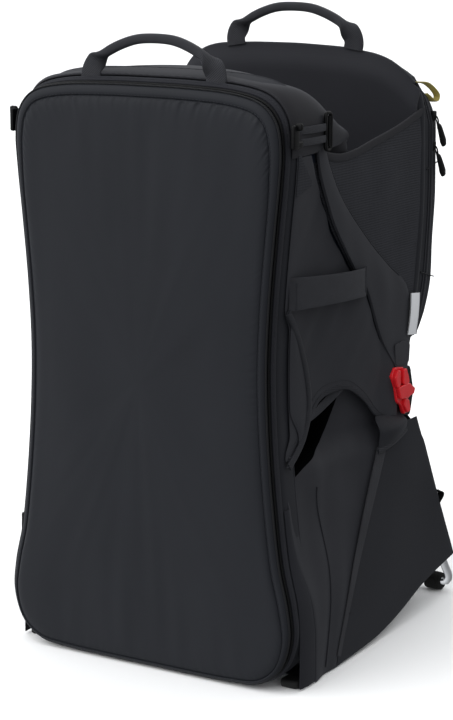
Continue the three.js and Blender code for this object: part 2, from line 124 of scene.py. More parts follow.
def spline(points, count, closed=False, per_span=24):
    """Evenly spaced points on a Catmull-Rom curve through the given ones."""
    p = np.array(points, float)
    if closed:
        ring = np.vstack([p[-1:], p, p[:2]])
    else:
        ring = np.vstack([2 * p[:1] - p[1:2], p, 2 * p[-1:] - p[-2:-1]])
    t = np.linspace(0, 1, per_span, endpoint=False)[:, None]
    spans = []
    for a, b, c, d in zip(ring[:-3], ring[1:-2], ring[2:-1], ring[3:]):
        spans.append(0.5 * (2 * b + (c - a) * t + (2 * a - 5 * b + 4 * c - d) * t**2
                            + (3 * b - a - 3 * c + d) * t**3))
    dense = np.vstack(spans + [p[:1] if closed else p[-1:]])
    along = np.concatenate([[0], np.cumsum(np.linalg.norm(np.diff(dense, axis=0), axis=1))])
    wanted = np.linspace(0, along[-1], count + 1)[:-1] if closed else np.linspace(0, along[-1], count)
    return np.stack([np.interp(wanted, along, dense[:, k]) for k in range(dense.shape[1])], axis=1)


def curve_of(rows):
    """A smooth function through (x, value) rows whose x rises."""
    dense = spline(rows, 400)
    return lambda x: np.interp(x, dense[:, 0], dense[:, 1])


inner_wall_y = curve_of(INNER_WALL)
outer_wall_y = curve_of(OUTER_WALL)
arch_z = curve_of(ARCH)
floor_z = curve_of(FLOOR_EDGE)
half_width = curve_of([(z, x) for x, z in OUTLINE[5:15]])


def xyz(x, y, z):
    return np.stack(np.broadcast_arrays(np.asarray(x, float), np.asarray(y, float), np.asarray(z, float)),
                    axis=-1)


def uv_grid(nu, nv):
    return np.meshgrid(np.linspace(0, 1, nu), np.linspace(0, 1, nv), indexing="ij")


def unit(v):
    return v / np.maximum(np.linalg.norm(v, axis=-1, keepdims=True), 1e-9)


def running_mean(grid, reach):
    """Each column of a grid, averaged over 2 * reach + 1 rows."""
    box = np.ones(2 * reach + 1) / (2 * reach + 1)
    return np.array([np.convolve(np.pad(row, reach, mode="edge"), box, "valid") for row in grid.T]).T


def soft_noise(x, y, wavelength, seed):
    """A smooth seeded field in about -1..1, from crossed waves."""
    rng = np.random.RandomState(seed)
    total = np.zeros(np.broadcast(x, y).shape)
    for _ in range(NOISE_WAVES):
        angle, phase = rng.uniform(0, TAU, 2)
        k = TAU / (wavelength * rng.uniform(0.75, 1.4))
        total = total + np.sin(k * (x * math.cos(angle) + y * math.sin(angle)) + phase)
    return total / NOISE_WAVES**0.5 / 1.4


# ---- Mesh building ------------------------------------------------------------------------------------------------

def world(points):
    """Design millimetres as row frame metres."""
    p = np.asarray(points, float).copy()
    p[..., 1] -= CENTRE_Y
    return p * MM


def make_mesh(name, points, faces, sharp_deg=50):
    """A closed mesh object from millimetre points, its faces turned outwards."""
    p = world(points).reshape(-1, 3)
    volume = 0.0
    for face in faces:
        a = p[face[0]]
        for b, c in zip(face[1:-1], face[2:]):
            volume += float(np.dot(a, np.cross(p[b], p[c])))
    if volume < 0:
        faces = [tuple(reversed(f)) for f in faces]
    mesh = bpy.data.meshes.new(name)
    mesh.from_pydata(p.tolist(), [], faces)
    mesh.validate()
    mesh.shade_smooth()
    mesh.set_sharp_from_angle(angle=math.radians(sharp_deg))
    obj = bpy.data.objects.new(name, mesh)
    bpy.context.scene.collection.objects.link(obj)
    return obj


def loop_faces(count, size, wrap):
    """Quads between consecutive closed loops of the given size."""
    faces = []
    for k in range(count if wrap else count - 1):
        m = (k + 1) % count
        for i in range(size):
            j = (i + 1) % size
            faces.append((k * size + i, k * size + j, m * size + j, m * size + i))
    return faces


def ring_solid(name, loops, **kw):
    """A solid ring from loops (n, m, 3): n places round the ring, m points round its section."""
    n, m = loops.shape[:2]
    return make_mesh(name, loops, loop_faces(n, m, True), **kw)


def tube_solid(name, loops, **kw):
    """A solid bar from loops (n, m, 3), with its two ends closed."""
    n, m = loops.shape[:2]
    faces = loop_faces(n, m, False)
    faces.append(tuple(range(m)))
    faces.append(tuple(reversed(range((n - 1) * m, n * m))))
    return make_mesh(name, loops, faces, **kw)


def normals(grid):
    du = np.gradient(grid, axis=0)
    dv = np.gradient(grid, axis=1)
    return unit(np.cross(du, dv))


def sheet_solid(name, grid, thickness, edge=0.35, **kw):
    """A closed sheet on a grid (nu, nv, 3), thinner at its rim: edge is the rim's share of the thickness."""
    nu, nv = grid.shape[:2]
    u, v = uv_grid(nu, nv)
    rim = np.minimum(np.minimum(u * (nu - 1), (1 - u) * (nu - 1)),
                     np.minimum(v * (nv - 1), (1 - v) * (nv - 1)))
    t = thickness * (edge + (1 - edge) * np.clip(rim / 1.5, 0, 1))
    n = normals(grid) * (t / 2)[..., None]
    over, under = grid + n, grid - n
    loops = np.concatenate([over, under[:, ::-1]], axis=1)
    faces = loop_faces(nu, 2 * nv, False)
    for row in (0, nu - 1):
        base = row * 2 * nv
        for j in range(nv - 1):
            quad = (base + j, base + j + 1, base + 2 * nv - 2 - j, base + 2 * nv - 1 - j)
            faces.append(quad if row == 0 else tuple(reversed(quad)))
    return make_mesh(name, loops, faces, **kw)


def oval(width, height, count=12, squareness=2.0):
    """A closed section: 2 is an ellipse, and larger is a rounded rectangle."""
    t = np.arange(count) / count * TAU
    c, s = np.cos(t), np.sin(t)
    x = np.sign(c) * np.abs(c) ** (2 / squareness) * width / 2
    y = np.sign(s) * np.abs(s) ** (2 / squareness) * height / 2
    return np.stack([x, y], axis=1)


def swept(path, section, across=None, closed=False, scale=None):
    """Loops of a section swept along a path. across is the direction of the section's width at each point."""
    path = np.asarray(path, float)
    if closed:
        tangent = unit(np.roll(path, -1, axis=0) - np.roll(path, 1, axis=0))
    else:
        tangent = unit(np.gradient(path, axis=0))
    if across is None:
        side = np.cross(tangent[0], [0.0, 0.0, 1.0])
        if np.linalg.norm(side) < 0.1:
            side = np.array([1.0, 0, 0])
        sides = []
        for t in tangent:
            side = side - t * np.dot(side, t)
            side = side / np.linalg.norm(side)
            sides.append(side)
        across = np.array(sides)
    else:
        across = np.broadcast_to(np.asarray(across, float), path.shape)
        across = unit(across - tangent * np.sum(across * tangent, axis=1, keepdims=True))
    normal = np.cross(tangent, across)
    scale = np.ones(len(path)) if scale is None else np.broadcast_to(scale, len(path))
    a = section[None, :, 0, None] * across[:, None] + section[None, :, 1, None] * normal[:, None]
    return path[:, None] + a * scale[:, None, None]


def bead(name, path, width, height=None, across=None, closed=False, sides=8, squareness=2.0, scale=None):
    """Piping, cord or webbing along a path."""
    loops = swept(path, oval(width, height or width, sides, squareness), across, closed, scale)
    return ring_solid(name, loops) if closed else tube_solid(name, loops)


def box_loops(size, centre, rounding=1.0):
    """Rounded block as loops along Z, for small hard parts."""
    w, d, h = size
    rings = (0.0, 0.35, 1.0)
    r = min(rounding, w / 2.01, d / 2.01, h / 2.01)
    levels = [(share, -h / 2 + r * share) for share in rings]
    levels += [(share, h / 2 - r * share) for share in reversed(rings)]
    loops = []
    for share, z in levels:
        lift = r * (1 - math.sqrt(1 - (1 - share) ** 2))
        section = oval(w - 2 * lift, d - 2 * lift, 20, 5.0)
        loops.append(xyz(section[:, 0], section[:, 1], np.full(len(section), z)))
    return np.array(loops) + np.array(centre, float)


def joined(name, objects):
    """One object from several."""
    base = objects[0]
    bpy.ops.object.select_all(action="DESELECT")
    for o in objects:
        o.select_set(True)
    bpy.context.view_layer.objects.active = base
    bpy.ops.object.join()
    base.name = name
    base.data.name = name
    return base


def mirrored(points, side):
    """Points of the right side, moved to the side asked for: -1 left, 1 right."""
    return np.asarray(points, float) * np.array([side, 1, 1])


def stitches(name, path, lift, pitch=4.2, length=2.7, width=0.75):
    """Short sewn stitches along a path, as one mesh of small rods. lift moves them off the surface."""
    path = np.asarray(path, float) + np.asarray(lift, float)
    along = np.concatenate([[0], np.cumsum(np.linalg.norm(np.diff(path, axis=0), axis=1))])
    at = lambda s: np.array([np.interp(s, along, path[:, k]) for k in range(3)])
    section = oval(width, width, 6)
    points, faces = [], []
    for k in range(int(along[-1] / pitch)):
        start = k * pitch + (pitch - length) / 2
        rod = swept([at(start), at(start + length / 2), at(start + length)], section, scale=[0.6, 1, 0.6])
        base = len(points) * 6
        faces += [tuple(base + i for i in f) for f in loop_faces(3, 6, False)]
        faces += [tuple(base + i for i in range(6)), tuple(base + 12 + i for i in reversed(range(6)))]
        points += list(rod)
    return make_mesh(name, np.array(points), faces)


# ---- Materials ----------------------------------------------------------------------------------------------------

class Shader:
    """A node material on one Principled shader, with shorthand for arithmetic on coordinates."""

    def __init__(self, name, slot, colour, rough, metal=0.0, sheen=0.0, specular=0.5, coat=0.0):
        self.mat = bpy.data.materials.new(name)
        self.mat.use_nodes = True
        self.mat["slot"] = slot
        self.tree = self.mat.node_tree
        self.shader = self.tree.nodes["Principled BSDF"]
        self.colour = colour
        self.rough = rough
        values = {"Metallic": metal, "Sheen Weight": sheen, "Specular IOR Level": specular,
                  "Coat Weight": coat}
        for socket, value in values.items():
            self.shader.inputs[socket].default_value = value
        if sheen:
            self.shader.inputs["Sheen Roughness"].default_value = 0.45
            self.shader.inputs["Sheen Tint"].default_value = (0.80, 0.85, 1.0, 1)
        split = self.node("ShaderNodeSeparateXYZ", Vector=self.node("ShaderNodeTexCoord").outputs["Object"])
        self.x, self.y, self.z = split.outputs
        self.along = self.weighed(self.x, 0.8, self.y, 0.6)

    def node(self, kind, **inputs):
        made = self.tree.nodes.new(kind)
        for key, value in inputs.items():
            self.put(made.inputs[key.replace("_", " ")], value)
        return made

    def put(self, socket, value):
        if isinstance(value, bpy.types.NodeSocket):
            self.tree.links.new(value, socket)
        else:
            socket.default_value = value

    def math(self, operation, a, b=0.0, clamp=False):
        made = self.tree.nodes.new("ShaderNodeMath")
        made.operation = operation
        made.use_clamp = clamp
        self.put(made.inputs[0], a)
        self.put(made.inputs[1], b)
        return made.outputs[0]

    def add(self, a, b):
        return self.math("ADD", a, b)

    def times(self, a, b):
        return self.math("MULTIPLY", a, b)

    def weighed(self, a, share_a, b, share_b):
        return self.add(self.times(a, share_a), self.times(b, share_b))

    def wave(self, value, period_mm):
        """0..1 wave with the given period along a coordinate in metres."""
        sine = self.math("SINE", self.times(value, TAU / (period_mm * MM)))
        return self.add(self.times(sine, 0.5), 0.5)

    def noise(self, size_mm, detail=2.0, rough=0.5):
        coordinates = self.node("ShaderNodeTexCoord").outputs["Object"]
        made = self.node("ShaderNodeTexNoise", Vector=coordinates, Scale=1000 / size_mm, Detail=detail,
                         Roughness=rough)
        return made.outputs["Fac"]

    def mix(self, factor, low, high):
        made = self.tree.nodes.new("ShaderNodeMix")
        made.data_type = "RGBA"
        self.put(made.inputs[0], factor)
        self.put(made.inputs[6], (*low, 1))
        self.put(made.inputs[7], (*high, 1))
        return made.outputs[2]

    def shades(self, factor, spread):
        """The base colour, darker and lighter by spread as factor goes from 0 to 1."""
        low = tuple(c * (1 - spread) for c in self.colour)
        high = tuple(min(1, c * (1 + spread)) for c in self.colour)
        return self.mix(factor, low, high)

    def finish(self, colour, rough_spread=0.08, rough_by=None, height=None, depth_mm=0.1):
        self.put(self.shader.inputs["Base Color"], colour)
        by = rough_by if rough_by is not None else self.noise(14)
        span = self.times(self.math("SUBTRACT", by, 0.5), 2 * rough_spread)
        self.put(self.shader.inputs["Roughness"], self.math("ADD", span, self.rough, clamp=True))
        if height is not None:
            bump = self.node("ShaderNodeBump", Height=height, Distance=depth_mm * MM, Strength=0.6)
            self.put(self.shader.inputs["Normal"], bump.outputs["Normal"])
        return self.mat


def woven(name, slot, colour, thread_mm=1.7, rough=0.72, sheen=0.03, spread=0.14, depth_mm=0.12,
          specular=0.18):
    """Plain weave, its tone clouded over some centimetres."""
    s = Shader(name, slot, colour, rough, sheen=sheen, specular=specular)
    weave = s.times(s.wave(s.z, thread_mm), s.wave(s.along, thread_mm * 0.9))
    grain = s.noise(1.4, 3)
    cloud = s.noise(55, 3)
    height = s.weighed(weave, 0.6, grain, 0.6)
    tone = s.weighed(cloud, 0.65, grain, 0.35)
    return s.finish(s.shades(tone, spread), rough_by=grain, height=height, depth_mm=depth_mm)


def knit(name, slot, colour):
    """Mesh with fine level ribs and rows of small holes."""
    s = Shader(name, slot, colour, 0.8, sheen=0.04, specular=0.15)
    rib = s.wave(s.z, 2.9)
    hole = s.times(s.wave(s.z, 1.45), s.wave(s.along, 1.9))
    height = s.weighed(rib, 0.8, hole, 0.5)
    tone = s.weighed(rib, 0.55, s.noise(30, 3), 0.45)
    return s.finish(s.shades(tone, 0.42), height=height, depth_mm=0.6, rough_by=rib)


def webbing(name, slot, colour, rib_mm=2.4):
    """Narrow woven tape with slanted ribs."""
    s = Shader(name, slot, colour, 0.62, sheen=0.04, specular=0.2)
    slant = s.add(s.math("SUBTRACT", s.along, s.z), s.times(s.y, 0.4))
    counter = s.add(s.add(s.along, s.z), s.times(s.y, 0.3))
    ribs = s.wave(slant, rib_mm)
    height = s.add(ribs, s.times(s.wave(counter, rib_mm * 0.7), 0.35))
    tone = s.weighed(ribs, 0.6, s.noise(9, 3), 0.4)
    return s.finish(s.shades(tone, 0.75), height=height, depth_mm=0.9, rough_by=ribs)


def tape(name, slot, colour):
    """Grosgrain binding: close ribs across the tape."""
    s = Shader(name, slot, colour, 0.66, sheen=0.04, specular=0.2)
    ribs = s.wave(s.add(s.z, s.times(s.along, 0.25)), 1.9)
    tone = s.weighed(ribs, 0.5, s.noise(7, 3), 0.5)
    return s.finish(s.shades(tone, 0.40), height=ribs, depth_mm=0.5, rough_by=ribs)


def plastic(name, slot, colour, rough=0.46, coat=0.0):
    s = Shader(name, slot, colour, rough, specular=0.12 + 0.3 * coat, coat=coat)
    grain = s.noise(0.8, 4, 0.6)
    return s.finish(s.shades(s.noise(18, 3), 0.12), height=grain, depth_mm=0.05, rough_by=grain,
                    rough_spread=0.12)


def brushed(name, slot, colour):
    s = Shader(name, slot, colour, 0.32, metal=1.0)
    lines = s.noise(1.1, 5, 0.7)
    return s.finish(s.shades(lines, 0.12), height=lines, depth_mm=0.03, rough_by=s.noise(6, 4),
                    rough_spread=0.14)


M = {
    "nylon": woven("nylon_shell", "shell", (0.0112, 0.0118, 0.0150), spread=0.18, depth_mm=0.16),
    "side": woven("side_panel_cloth", "shell", (0.0225, 0.0230, 0.0272), spread=0.18, depth_mm=0.16),
    "face": woven("quilted_cover", "shell", (0.0082, 0.0092, 0.0124), thread_mm=1.5, rough=0.6),
    "band": woven("band_cordura", "shell", (0.0125, 0.0129, 0.0165), thread_mm=2.2, rough=0.8,
                  depth_mm=0.25),
    "stretch": woven("stretch_collar", "shell", (0.0112, 0.0109, 0.0132), thread_mm=1.2, rough=0.7,
                     sheen=0.05, spread=0.08, depth_mm=0.05),
    "lining": woven("lining_cloth", "lining", (0.0055, 0.0085, 0.0165), thread_mm=1.4, rough=0.6,
                    depth_mm=0.06),
    # painted shade: near-black cloth for the sheets standing where there is only shade, in the belt slots and inside
    # the leg openings
    "dark": woven("shadow_cloth", "lining", (0.0020, 0.0022, 0.0028), thread_mm=1.4, rough=0.9,
                  depth_mm=0.05, specular=0.02, sheen=0.0),
    "foam": woven("padded_cloth", "foam", (0.0150, 0.0154, 0.0190), thread_mm=1.8, rough=0.8),
    "knit": knit("side_mesh", "mesh", (0.0185, 0.0192, 0.0232)),
    "webbing": webbing("webbing_rib", "webbing", (0.0190, 0.0195, 0.0235)),
    "tape": tape("binding_tape", "webbing", (0.0130, 0.0135, 0.0170)),
    "fuzz": woven("seam_tape_pile", "webbing", (0.0290, 0.0292, 0.0330), thread_mm=2.6, rough=0.9,
                  spread=0.6, depth_mm=0.5),
    "zip": tape("zip_tape", "webbing", (0.0045, 0.0047, 0.0055)),
    "thread": woven("sewing_thread", "webbing", (0.0210, 0.0220, 0.0260), thread_mm=1.0, depth_mm=0.02),
    "plastic": plastic("black_nylon_plastic", "plastic", (0.0022, 0.0023, 0.0026)),
    "latch": plastic("red_latch_plastic", "latch", (0.620, 0.0120, 0.0180), rough=0.36, coat=0.2),
    "rubber": plastic("foot_rubber", "rubber", (0.0100, 0.0100, 0.0100), rough=0.75),
    "metal": brushed("satin_aluminium", "tube", (0.66, 0.67, 0.69)),
    "label": woven("woven_label", "webbing", (0.70, 0.71, 0.73), thread_mm=1.1, spread=0.05, depth_mm=0.05),
    "ochre": woven("woven_tab", "webbing", (0.36, 0.30, 0.09), thread_mm=1.1, spread=0.25, depth_mm=0.08),
}


def put(obj, material, body="carrier", stands_for=()):
    """Gives a finished piece its material, slot and body, and the CAD nodes it stands for; a piece given a fold name
    only has its transform baked and is attached to no body.
    """
    obj.data.materials.clear()
    obj.data.materials.append(M[material])
    if body in FOLDS:
        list(world(FOLDS[body]).tolist())
        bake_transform(obj)
    else:
        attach(obj, body)
    if stands_for:
        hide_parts(*stands_for)
    return obj


def cloth(name, grid, thickness, material, body="carrier", stands_for=()):
    """A fabric panel on a grid of points, built as a closed sheet."""
    obj = put(sheet_solid(name, grid, thickness), material, body, stands_for)
    return obj


def evaluated(obj):
    graph = bpy.context.evaluated_depsgraph_get()
    return bpy.data.meshes.new_from_object(obj.evaluated_get(graph))


def coordinates(mesh):
    co = np.empty(len(mesh.vertices) * 3)
    mesh.vertices.foreach_get("co", co)
    return co.reshape(-1, 3)


def puff(obj):
    """Fills a pad by a short cloth simulation, in which no point moves more than PUFF_REACH."""
    scene = bpy.context.scene
    remesh = obj.modifiers.new("remesh", "REMESH")
    remesh.mode = "VOXEL"
    remesh.voxel_size = VOXEL * MM
    obj.data = evaluated(obj)
    obj.modifiers.clear()
    rest = coordinates(obj.data)
    fabric = obj.modifiers.new("fabric", "CLOTH")
    fabric.settings.quality = 5
    fabric.settings.use_pressure = True
    fabric.settings.uniform_pressure_force = PRESSURE
    fabric.settings.effector_weights.gravity = 0
    fabric.point_cache.frame_end = PUFF_FRAMES
    for frame_number in range(1, PUFF_FRAMES + 1):
        scene.frame_set(frame_number)
    moved = coordinates(evaluated(obj)) - rest
    obj.modifiers.clear()
    far = np.linalg.norm(moved, axis=1, keepdims=True)
    moved *= np.minimum(1.0, PUFF_REACH * MM / np.maximum(far, 1e-9))
    obj.data.vertices.foreach_set("co", (rest + moved).ravel())
    scene.frame_set(1)
    finer = obj.modifiers.new("finer", "SUBSURF")
    finer.levels = 1
    obj.data = evaluated(obj)
    obj.modifiers.clear()
    obj.data.shade_smooth()
    return obj


def pad_piece(name, grid, thickness, body="carrier", stands_for=(), edge=0.2):
    """A stuffed pad: it starts slightly thin and the simulation fills it out."""
    start = thickness * PUFF_START
    pad = puff(sheet_solid(name, grid, start, edge=edge))
    return put(pad, "foam", body, stands_for)


# ---- Harness side -------------------------------------------------------------------------------------------------

def outline(count):
    """The harness side's outline as (x, z) points, and its inward unit normals."""
    left = [(-x, z) for x, z in OUTLINE[1:-1]][::-1]
    p = spline(OUTLINE + left, count, closed=True)
    along = unit(np.roll(p, -1, axis=0) - np.roll(p, 1, axis=0))
    return p, np.stack([-along[:, 1], along[:, 0]], axis=1)


def band_rise(y, z):
    """How far the band rises towards its rear edge at the top."""
    return FLARE * smooth(z, 540, 650) * np.clip((y - BAND_FRONT_Y) / (BAND_REAR_Y - BAND_FRONT_Y), 0, 1)


def seam_inset(z):
    """From the outline to the sewn seam round the cover's face."""
    return 5.5 + 3.5 * smooth(z, 15, 110) + 4.5 * smooth(z, 520, 640)


def ring_loops(count, profile, follow_seam=False):
    """Loops round the outline for a section given as (inset, y) points."""
    p, inward = outline(count)
    profile = np.array(profile, float)
    inset, depth = profile[:, 0], profile[:, 1]
    if follow_seam:
        inset = inset * seam_inset(p[:, 1])[:, None]
    x = p[:, 0, None] + inward[:, 0, None] * inset
    z = p[:, 1, None] + inward[:, 1, None] * inset
    z = z + band_rise(depth[None], z)
    return xyz(x, np.broadcast_to(depth, x.shape), z)


def ring_path(count, inset, y, follow_seam=False):
    return ring_loops(count, [(inset, y)], follow_seam)[:, 0]


def round_bead_profile(inset, y, r, sides=8):
    """Circle as (inset, y) points."""
    t = np.arange(sides) / sides * TAU
    return np.stack([inset + r * np.cos(t), y + r * np.sin(t)], axis=1)


def cover_face():
    """The cover's crowned face, gathered along its seam."""
    around = 1080
    p, inward = outline(around)
    rim = p + inward * seam_inset(p[:, 1])[:, None]
    step = np.linalg.norm(np.roll(rim, -1, axis=0) - rim, axis=1)
    arc = np.concatenate([[0], np.cumsum(step)[:-1]])
    reach = np.linalg.norm(rim - [0, WAIST_Z], axis=1)
    depths = np.array([0, 1, 2.2, 3.6, 5.2, 7.2, 9.6, 12.5, 16, 21, 28, 37, 50, 68, 90, 115, 140, 160])
    top = smooth(rim[:, 1], 560, 645)
    loops = []
    for d in depths:
        share = np.clip(1 - d / reach * (1 + 0.9 * (d / 160) * (reach / 165 - 1)), 0.02, 1)
        x = rim[:, 0] * share
        z = WAIST_Z + (rim[:, 1] - WAIST_Z) * share
        puff = 4.2 * (1 - np.exp(-d / 5.5)) + 7.5 * (1 - share**2)
        gather = np.zeros(around)
        state = np.random.RandomState(5)
        for wavelength, size, fade in ((6.5, 1.0, 4), (10, 1.3, 5.5), (17, 0.7, 8), (31, 0.2, 12)):
            turns = round(arc[-1] / wavelength)
            phase, sway = state.uniform(0, TAU, 2)
            local = 0.35 + 0.65 * np.clip(soft_noise(arc, 0 * arc, 120, int(wavelength)) + 0.3, 0, 1)
            ripple = np.sin(TAU * turns * arc / arc[-1] + phase + np.sin(arc / 37 + sway))
            gather += size * local * ripple * math.exp(-d / fade)
        gather *= (0.22 + 1.15 * top) * min(1, d / 2.5)
        drape = 1.5 * soft_noise(x * 1.6, z * 0.55, 170, 3) + 0.5 * soft_noise(x * 2.2, z * 0.5, 70, 8)
        drape *= 1 - math.exp(-d / 25)
        y = -161.2 - puff - gather - drape
        loops.append(xyz(x, y, z))
    front = np.array(loops)
    back = front[::-1].copy()
    back[..., 1] = -156.6
    return np.concatenate([front, back])


def build_cover():
    """The zipped cover: face, border outside its seam, piping and stitches."""
    grid = cover_face()
    rings, around = grid.shape[:2]
    half = rings // 2
    points = list(grid.reshape(-1, 3))
    faces = [f for f in loop_faces(rings, around, False) if f[0] // around != half - 1]
    faces += [f for f in loop_faces(rings, around, True) if f[0] // around == rings - 1]
    for ring in (half - 1, half):
        hub = len(points)
        points.append(grid[ring].mean(axis=0))
        for i in range(around):
            j = (i + 1) % around
            tri = (ring * around + i, ring * around + j, hub)
            faces.append(tri if ring == half - 1 else tri[::-1])
    face = make_mesh("cover_face", np.array(points), faces, sharp_deg=70)
    put(face, "face", "cover", ["harness_cover"])
    border = [(1.12, -157), (1.0, -161.4), (0.86, -162.6), (0.66, -162.4), (0.42, -161.2), (0.24, -159.4),
              (0.12, -157.2), (0.1, -156), (0.3, -156), (0.9, -156.4)]
    put(ring_solid("cover_border", ring_loops(420, border, True), sharp_deg=75), "face", "cover")
    put(ring_solid("cover_piping", ring_loops(420, round_bead_profile(1.0, -157.6, 1.1))), "zip", "cover")
    inner = ring_path(900, 0.88, -162.6, True)
    put(stitches("cover_stitching", np.vstack([inner, inner[:1]]), (0, -0.25, 0), pitch=4.4), "thread",
        "cover")


def zip_chain(name, inset, y, count, radius=1.25):
    """Interlocked coil of a closed zip, as a ring that swells at each tooth."""
    loops = ring_loops(count, round_bead_profile(inset, y, 1.0, 6))
    centre = loops.mean(axis=1, keepdims=True)
    swell = np.where(np.arange(count) % 2 == 0, radius * 1.25, radius * 0.75)
    return ring_solid(name, centre + (loops - centre) * swell[:, None, None], sharp_deg=80)


def build_band():
    """Gusset round the frame: zip, webbing flap, sleeve and piping."""
    tape_section = [(2.2, -156), (1.6, -150), (2.2, -145.5), (4.5, -145.5), (4.5, -156)]
    flap = [(2.6, -147.2), (0.2, -147.6), (-1.0, -146.2), (-1.5, -142.5), (-1.0, -139.6), (0.8, -138.6),
            (3, -139.5)]
    sleeve = [(4.4, -138.6), (1.0, -138.2), (-0.4, -136.4), (-1.3, -133), (-1.5, -129.5), (-1.2, -124),
              (-0.6, -116), (0.6, -107.2), (4.2, -106.6)]
    put(ring_solid("zip_tape_ring", ring_loops(360, tape_section)), "zip", stands_for=["gusset_band"])
    put(zip_chain("zip_chain", 1.1, -151.6, 1500), "plastic")
    put(ring_solid("band_flap", ring_loops(360, flap)), "band")
    put(ring_solid("frame_sleeve", ring_loops(360, sleeve)), "nylon")
    put(ring_solid("band_rear_piping", ring_loops(360, round_bead_profile(1.6, -106.4, 1.6))), "tape")
    put(ring_solid("band_seam_piping", ring_loops(360, round_bead_profile(0.7, -138.4, 1.0))), "tape")
    edge = ring_path(900, -1.4, -144.6)
    put(stitches("flap_stitching", np.vstack([edge, edge[:1]]), (0, 0, 0)), "thread")
    slider = [box_loops((5, 9, 13), (-176, -151, 150), 1.8),
              box_loops((2.5, 4, 16), (-179, -151, 138), 1.0)]
    pieces = [tube_solid("slider_part", loops) for loops in slider]
    put(joined("cover_zip_pull", pieces), "plastic", stands_for=["cover_zip_slider"])


def build_hoop():
    """Tubular hoop and the mesh stretched over it."""
    t = np.arange(14) / 14 * TAU
    inset, depth = 11 + 6.5 * np.cos(t), -113 + 6.5 * np.sin(t)
    p, inward = outline(240)
    x = p[:, 0, None] + inward[:, 0, None] * inset
    z = p[:, 1, None] + inward[:, 1, None] * inset
    z = z + 10 * smooth(z, 540, 650)
    hoop = ring_solid("back_hoop", xyz(x, np.broadcast_to(depth, x.shape), z))
    put(hoop, "metal", stands_for=["back_hoop_tube"])
    u, v = uv_grid(60, 90)
    z = lerp(22, 650, v)
    levels = [20, 60, 150, 295, 365, 505, 603, 640, 652]
    edge = np.interp(z, levels, [120, 168, 158, 146, 144, 152, 160, 140, 120])
    y = -122.5 + 4.5 * hump(u) * hump(v, 0.5)
    cloth("back_mesh", xyz((u * 2 - 1) * edge, y, z), 2.6, "knit", stands_for=["back_mesh_panel"])


def build_belt(label, side):
    """Shoulder pad, hip wing and belt webbing of one side."""
    u, v = uv_grid(18, 70)
    mid = lerp(42, 88, smooth(v, 0, 1))
    body = mirrored(xyz(mid + (u - 0.5) * 56, -135 - 2.5 * hump(u), lerp(583, 314, v)), side)
    thick = SHOULDER_PAD * (0.5 + 0.5 * hump(u, 0.35))
    pad_piece("shoulder_pad_" + label, body, thick, stands_for=["shoulder_strap_" + label])
    u, v = uv_grid(44, 16)
    body = mirrored(xyz(lerp(16, 150, u), -135, 122 + (v - 0.5) * lerp(94, 58, u)), side)
    thick = HIP_PAD * (0.45 + 0.55 * hump(v, 0.35))
    pad_piece("hip_wing_" + label, body, thick, stands_for=["hip_belt_wing_" + label])
    path = spline([(20 * side, -143.5, 122), (46 * side, -143.0, 122), (86 * side, -142.6, 122)], 20)
    put(bead("belt_web_" + label, path, 38, 1.8, UP, squareness=5, sides=16), "webbing")


def build_harness():
    """What lies under the cover: hoop, suspended mesh, straps, pads and buckle."""
    build_hoop()
    for label, side in SIDES.items():
        build_belt(label, side)
    u, v = uv_grid(50, 26)
    body = xyz((u - 0.5) * 228, -132 - 3 * hump(u), lerp(185, 299, v))
    thick = LUMBAR_PAD * (0.4 + 0.6 * hump(v, 0.3))
    pad_piece("lumbar_cushion", body, thick, stands_for=["lumbar_pad"])
    parts = [tube_solid("buckle_part", box_loops((56, 7.6, 39), (0, -147, 122), 3))]
    for k in range(-2, 3):
        parts.append(tube_solid("buckle_rib", box_loops((2.2, 2.4, 22), (k * 6, -150.5, 122), 0.9)))
    put(joined("belt_buckle", parts), "plastic", stands_for=["hip_belt_buckle"])


# ---- Collar and cockpit -------------------------------------------------------------------------------------------

COLLAR_REAR = [
    (157, 17, 596), (165, 2, 607), (161, -24, 622), (147, -46, 643), (127, -62, 660), (97, -66, 669),
    (55, -62, 675), (0, -55, 677),
]
COLLAR_FRONT_Y = -139.0


def there_and_back(half):
    """The points of a right half, mirrored to the left and in reverse."""
    return [(-x, y, z) for x, y, z in half[::-1]]


def build_collar():
    """Smooth padded collar over the top of the harness side, rolled over and down into the cockpit."""
    n = 150
    rear = spline(COLLAR_REAR + there_and_back(COLLAR_REAR[:-1]), n)
    p, inward = outline(2000)
    keep = p[:, 1] > 590
    start = np.argmin(np.where(keep & (p[:, 0] > 0), p[:, 1], 1e9))
    finish = np.argmin(np.where(keep & (p[:, 0] < 0), p[:, 1], 1e9))
    arc = np.linspace(start, finish, n).round().astype(int)
    x, z = (p - inward * 2.4)[arc].T
    front = xyz(x, COLLAR_FRONT_Y, z + band_rise(COLLAR_FRONT_Y, z))
    rows = []
    for t in np.linspace(0, 1, 18):
        row = lerp(front, rear, t)
        swell = math.sin(math.pi * min(1, t * 1.04)) ** 0.7
        corner = np.exp(-(((np.abs(front[:, 0]) - 158) / 30) ** 2))
        row[:, 2] += (4.0 + 7.0 * corner) * swell * smooth(front[:, 2], 590, 640)
        row[:, 0] += np.sign(front[:, 0]) * 8.0 * corner * swell
        rows.append(row)
    centre = np.array([0.0, -100.0, 560.0])
    inwards = unit((centre - rear) * np.array([1, 0.35, 0.4]))
    down = np.array([0, 0, -1.0])
    for drop, pull in ((2.5, 2.0), (7, 3.2), (13, 2.0), (24, 3.5), (44, 9), (70, 14)):
        row = rear + down * drop + inwards * pull
        row[:, 1] = np.maximum(row[:, 1] - 0.3 * drop * smooth(np.abs(rear[:, 0]), 165, 60), -90)
        rows.append(row)
    grid = np.stack(rows, axis=1)
    collar = sheet_solid("collar_cap", grid, 2.2, sharp_deg=80)
    put(collar, "stretch", stands_for=["collar_pad"])
    seam = grid[4:-4, 0] + np.array([0, 1.5, 0.9])
    put(bead("collar_seam", seam, 1.6), "tape")


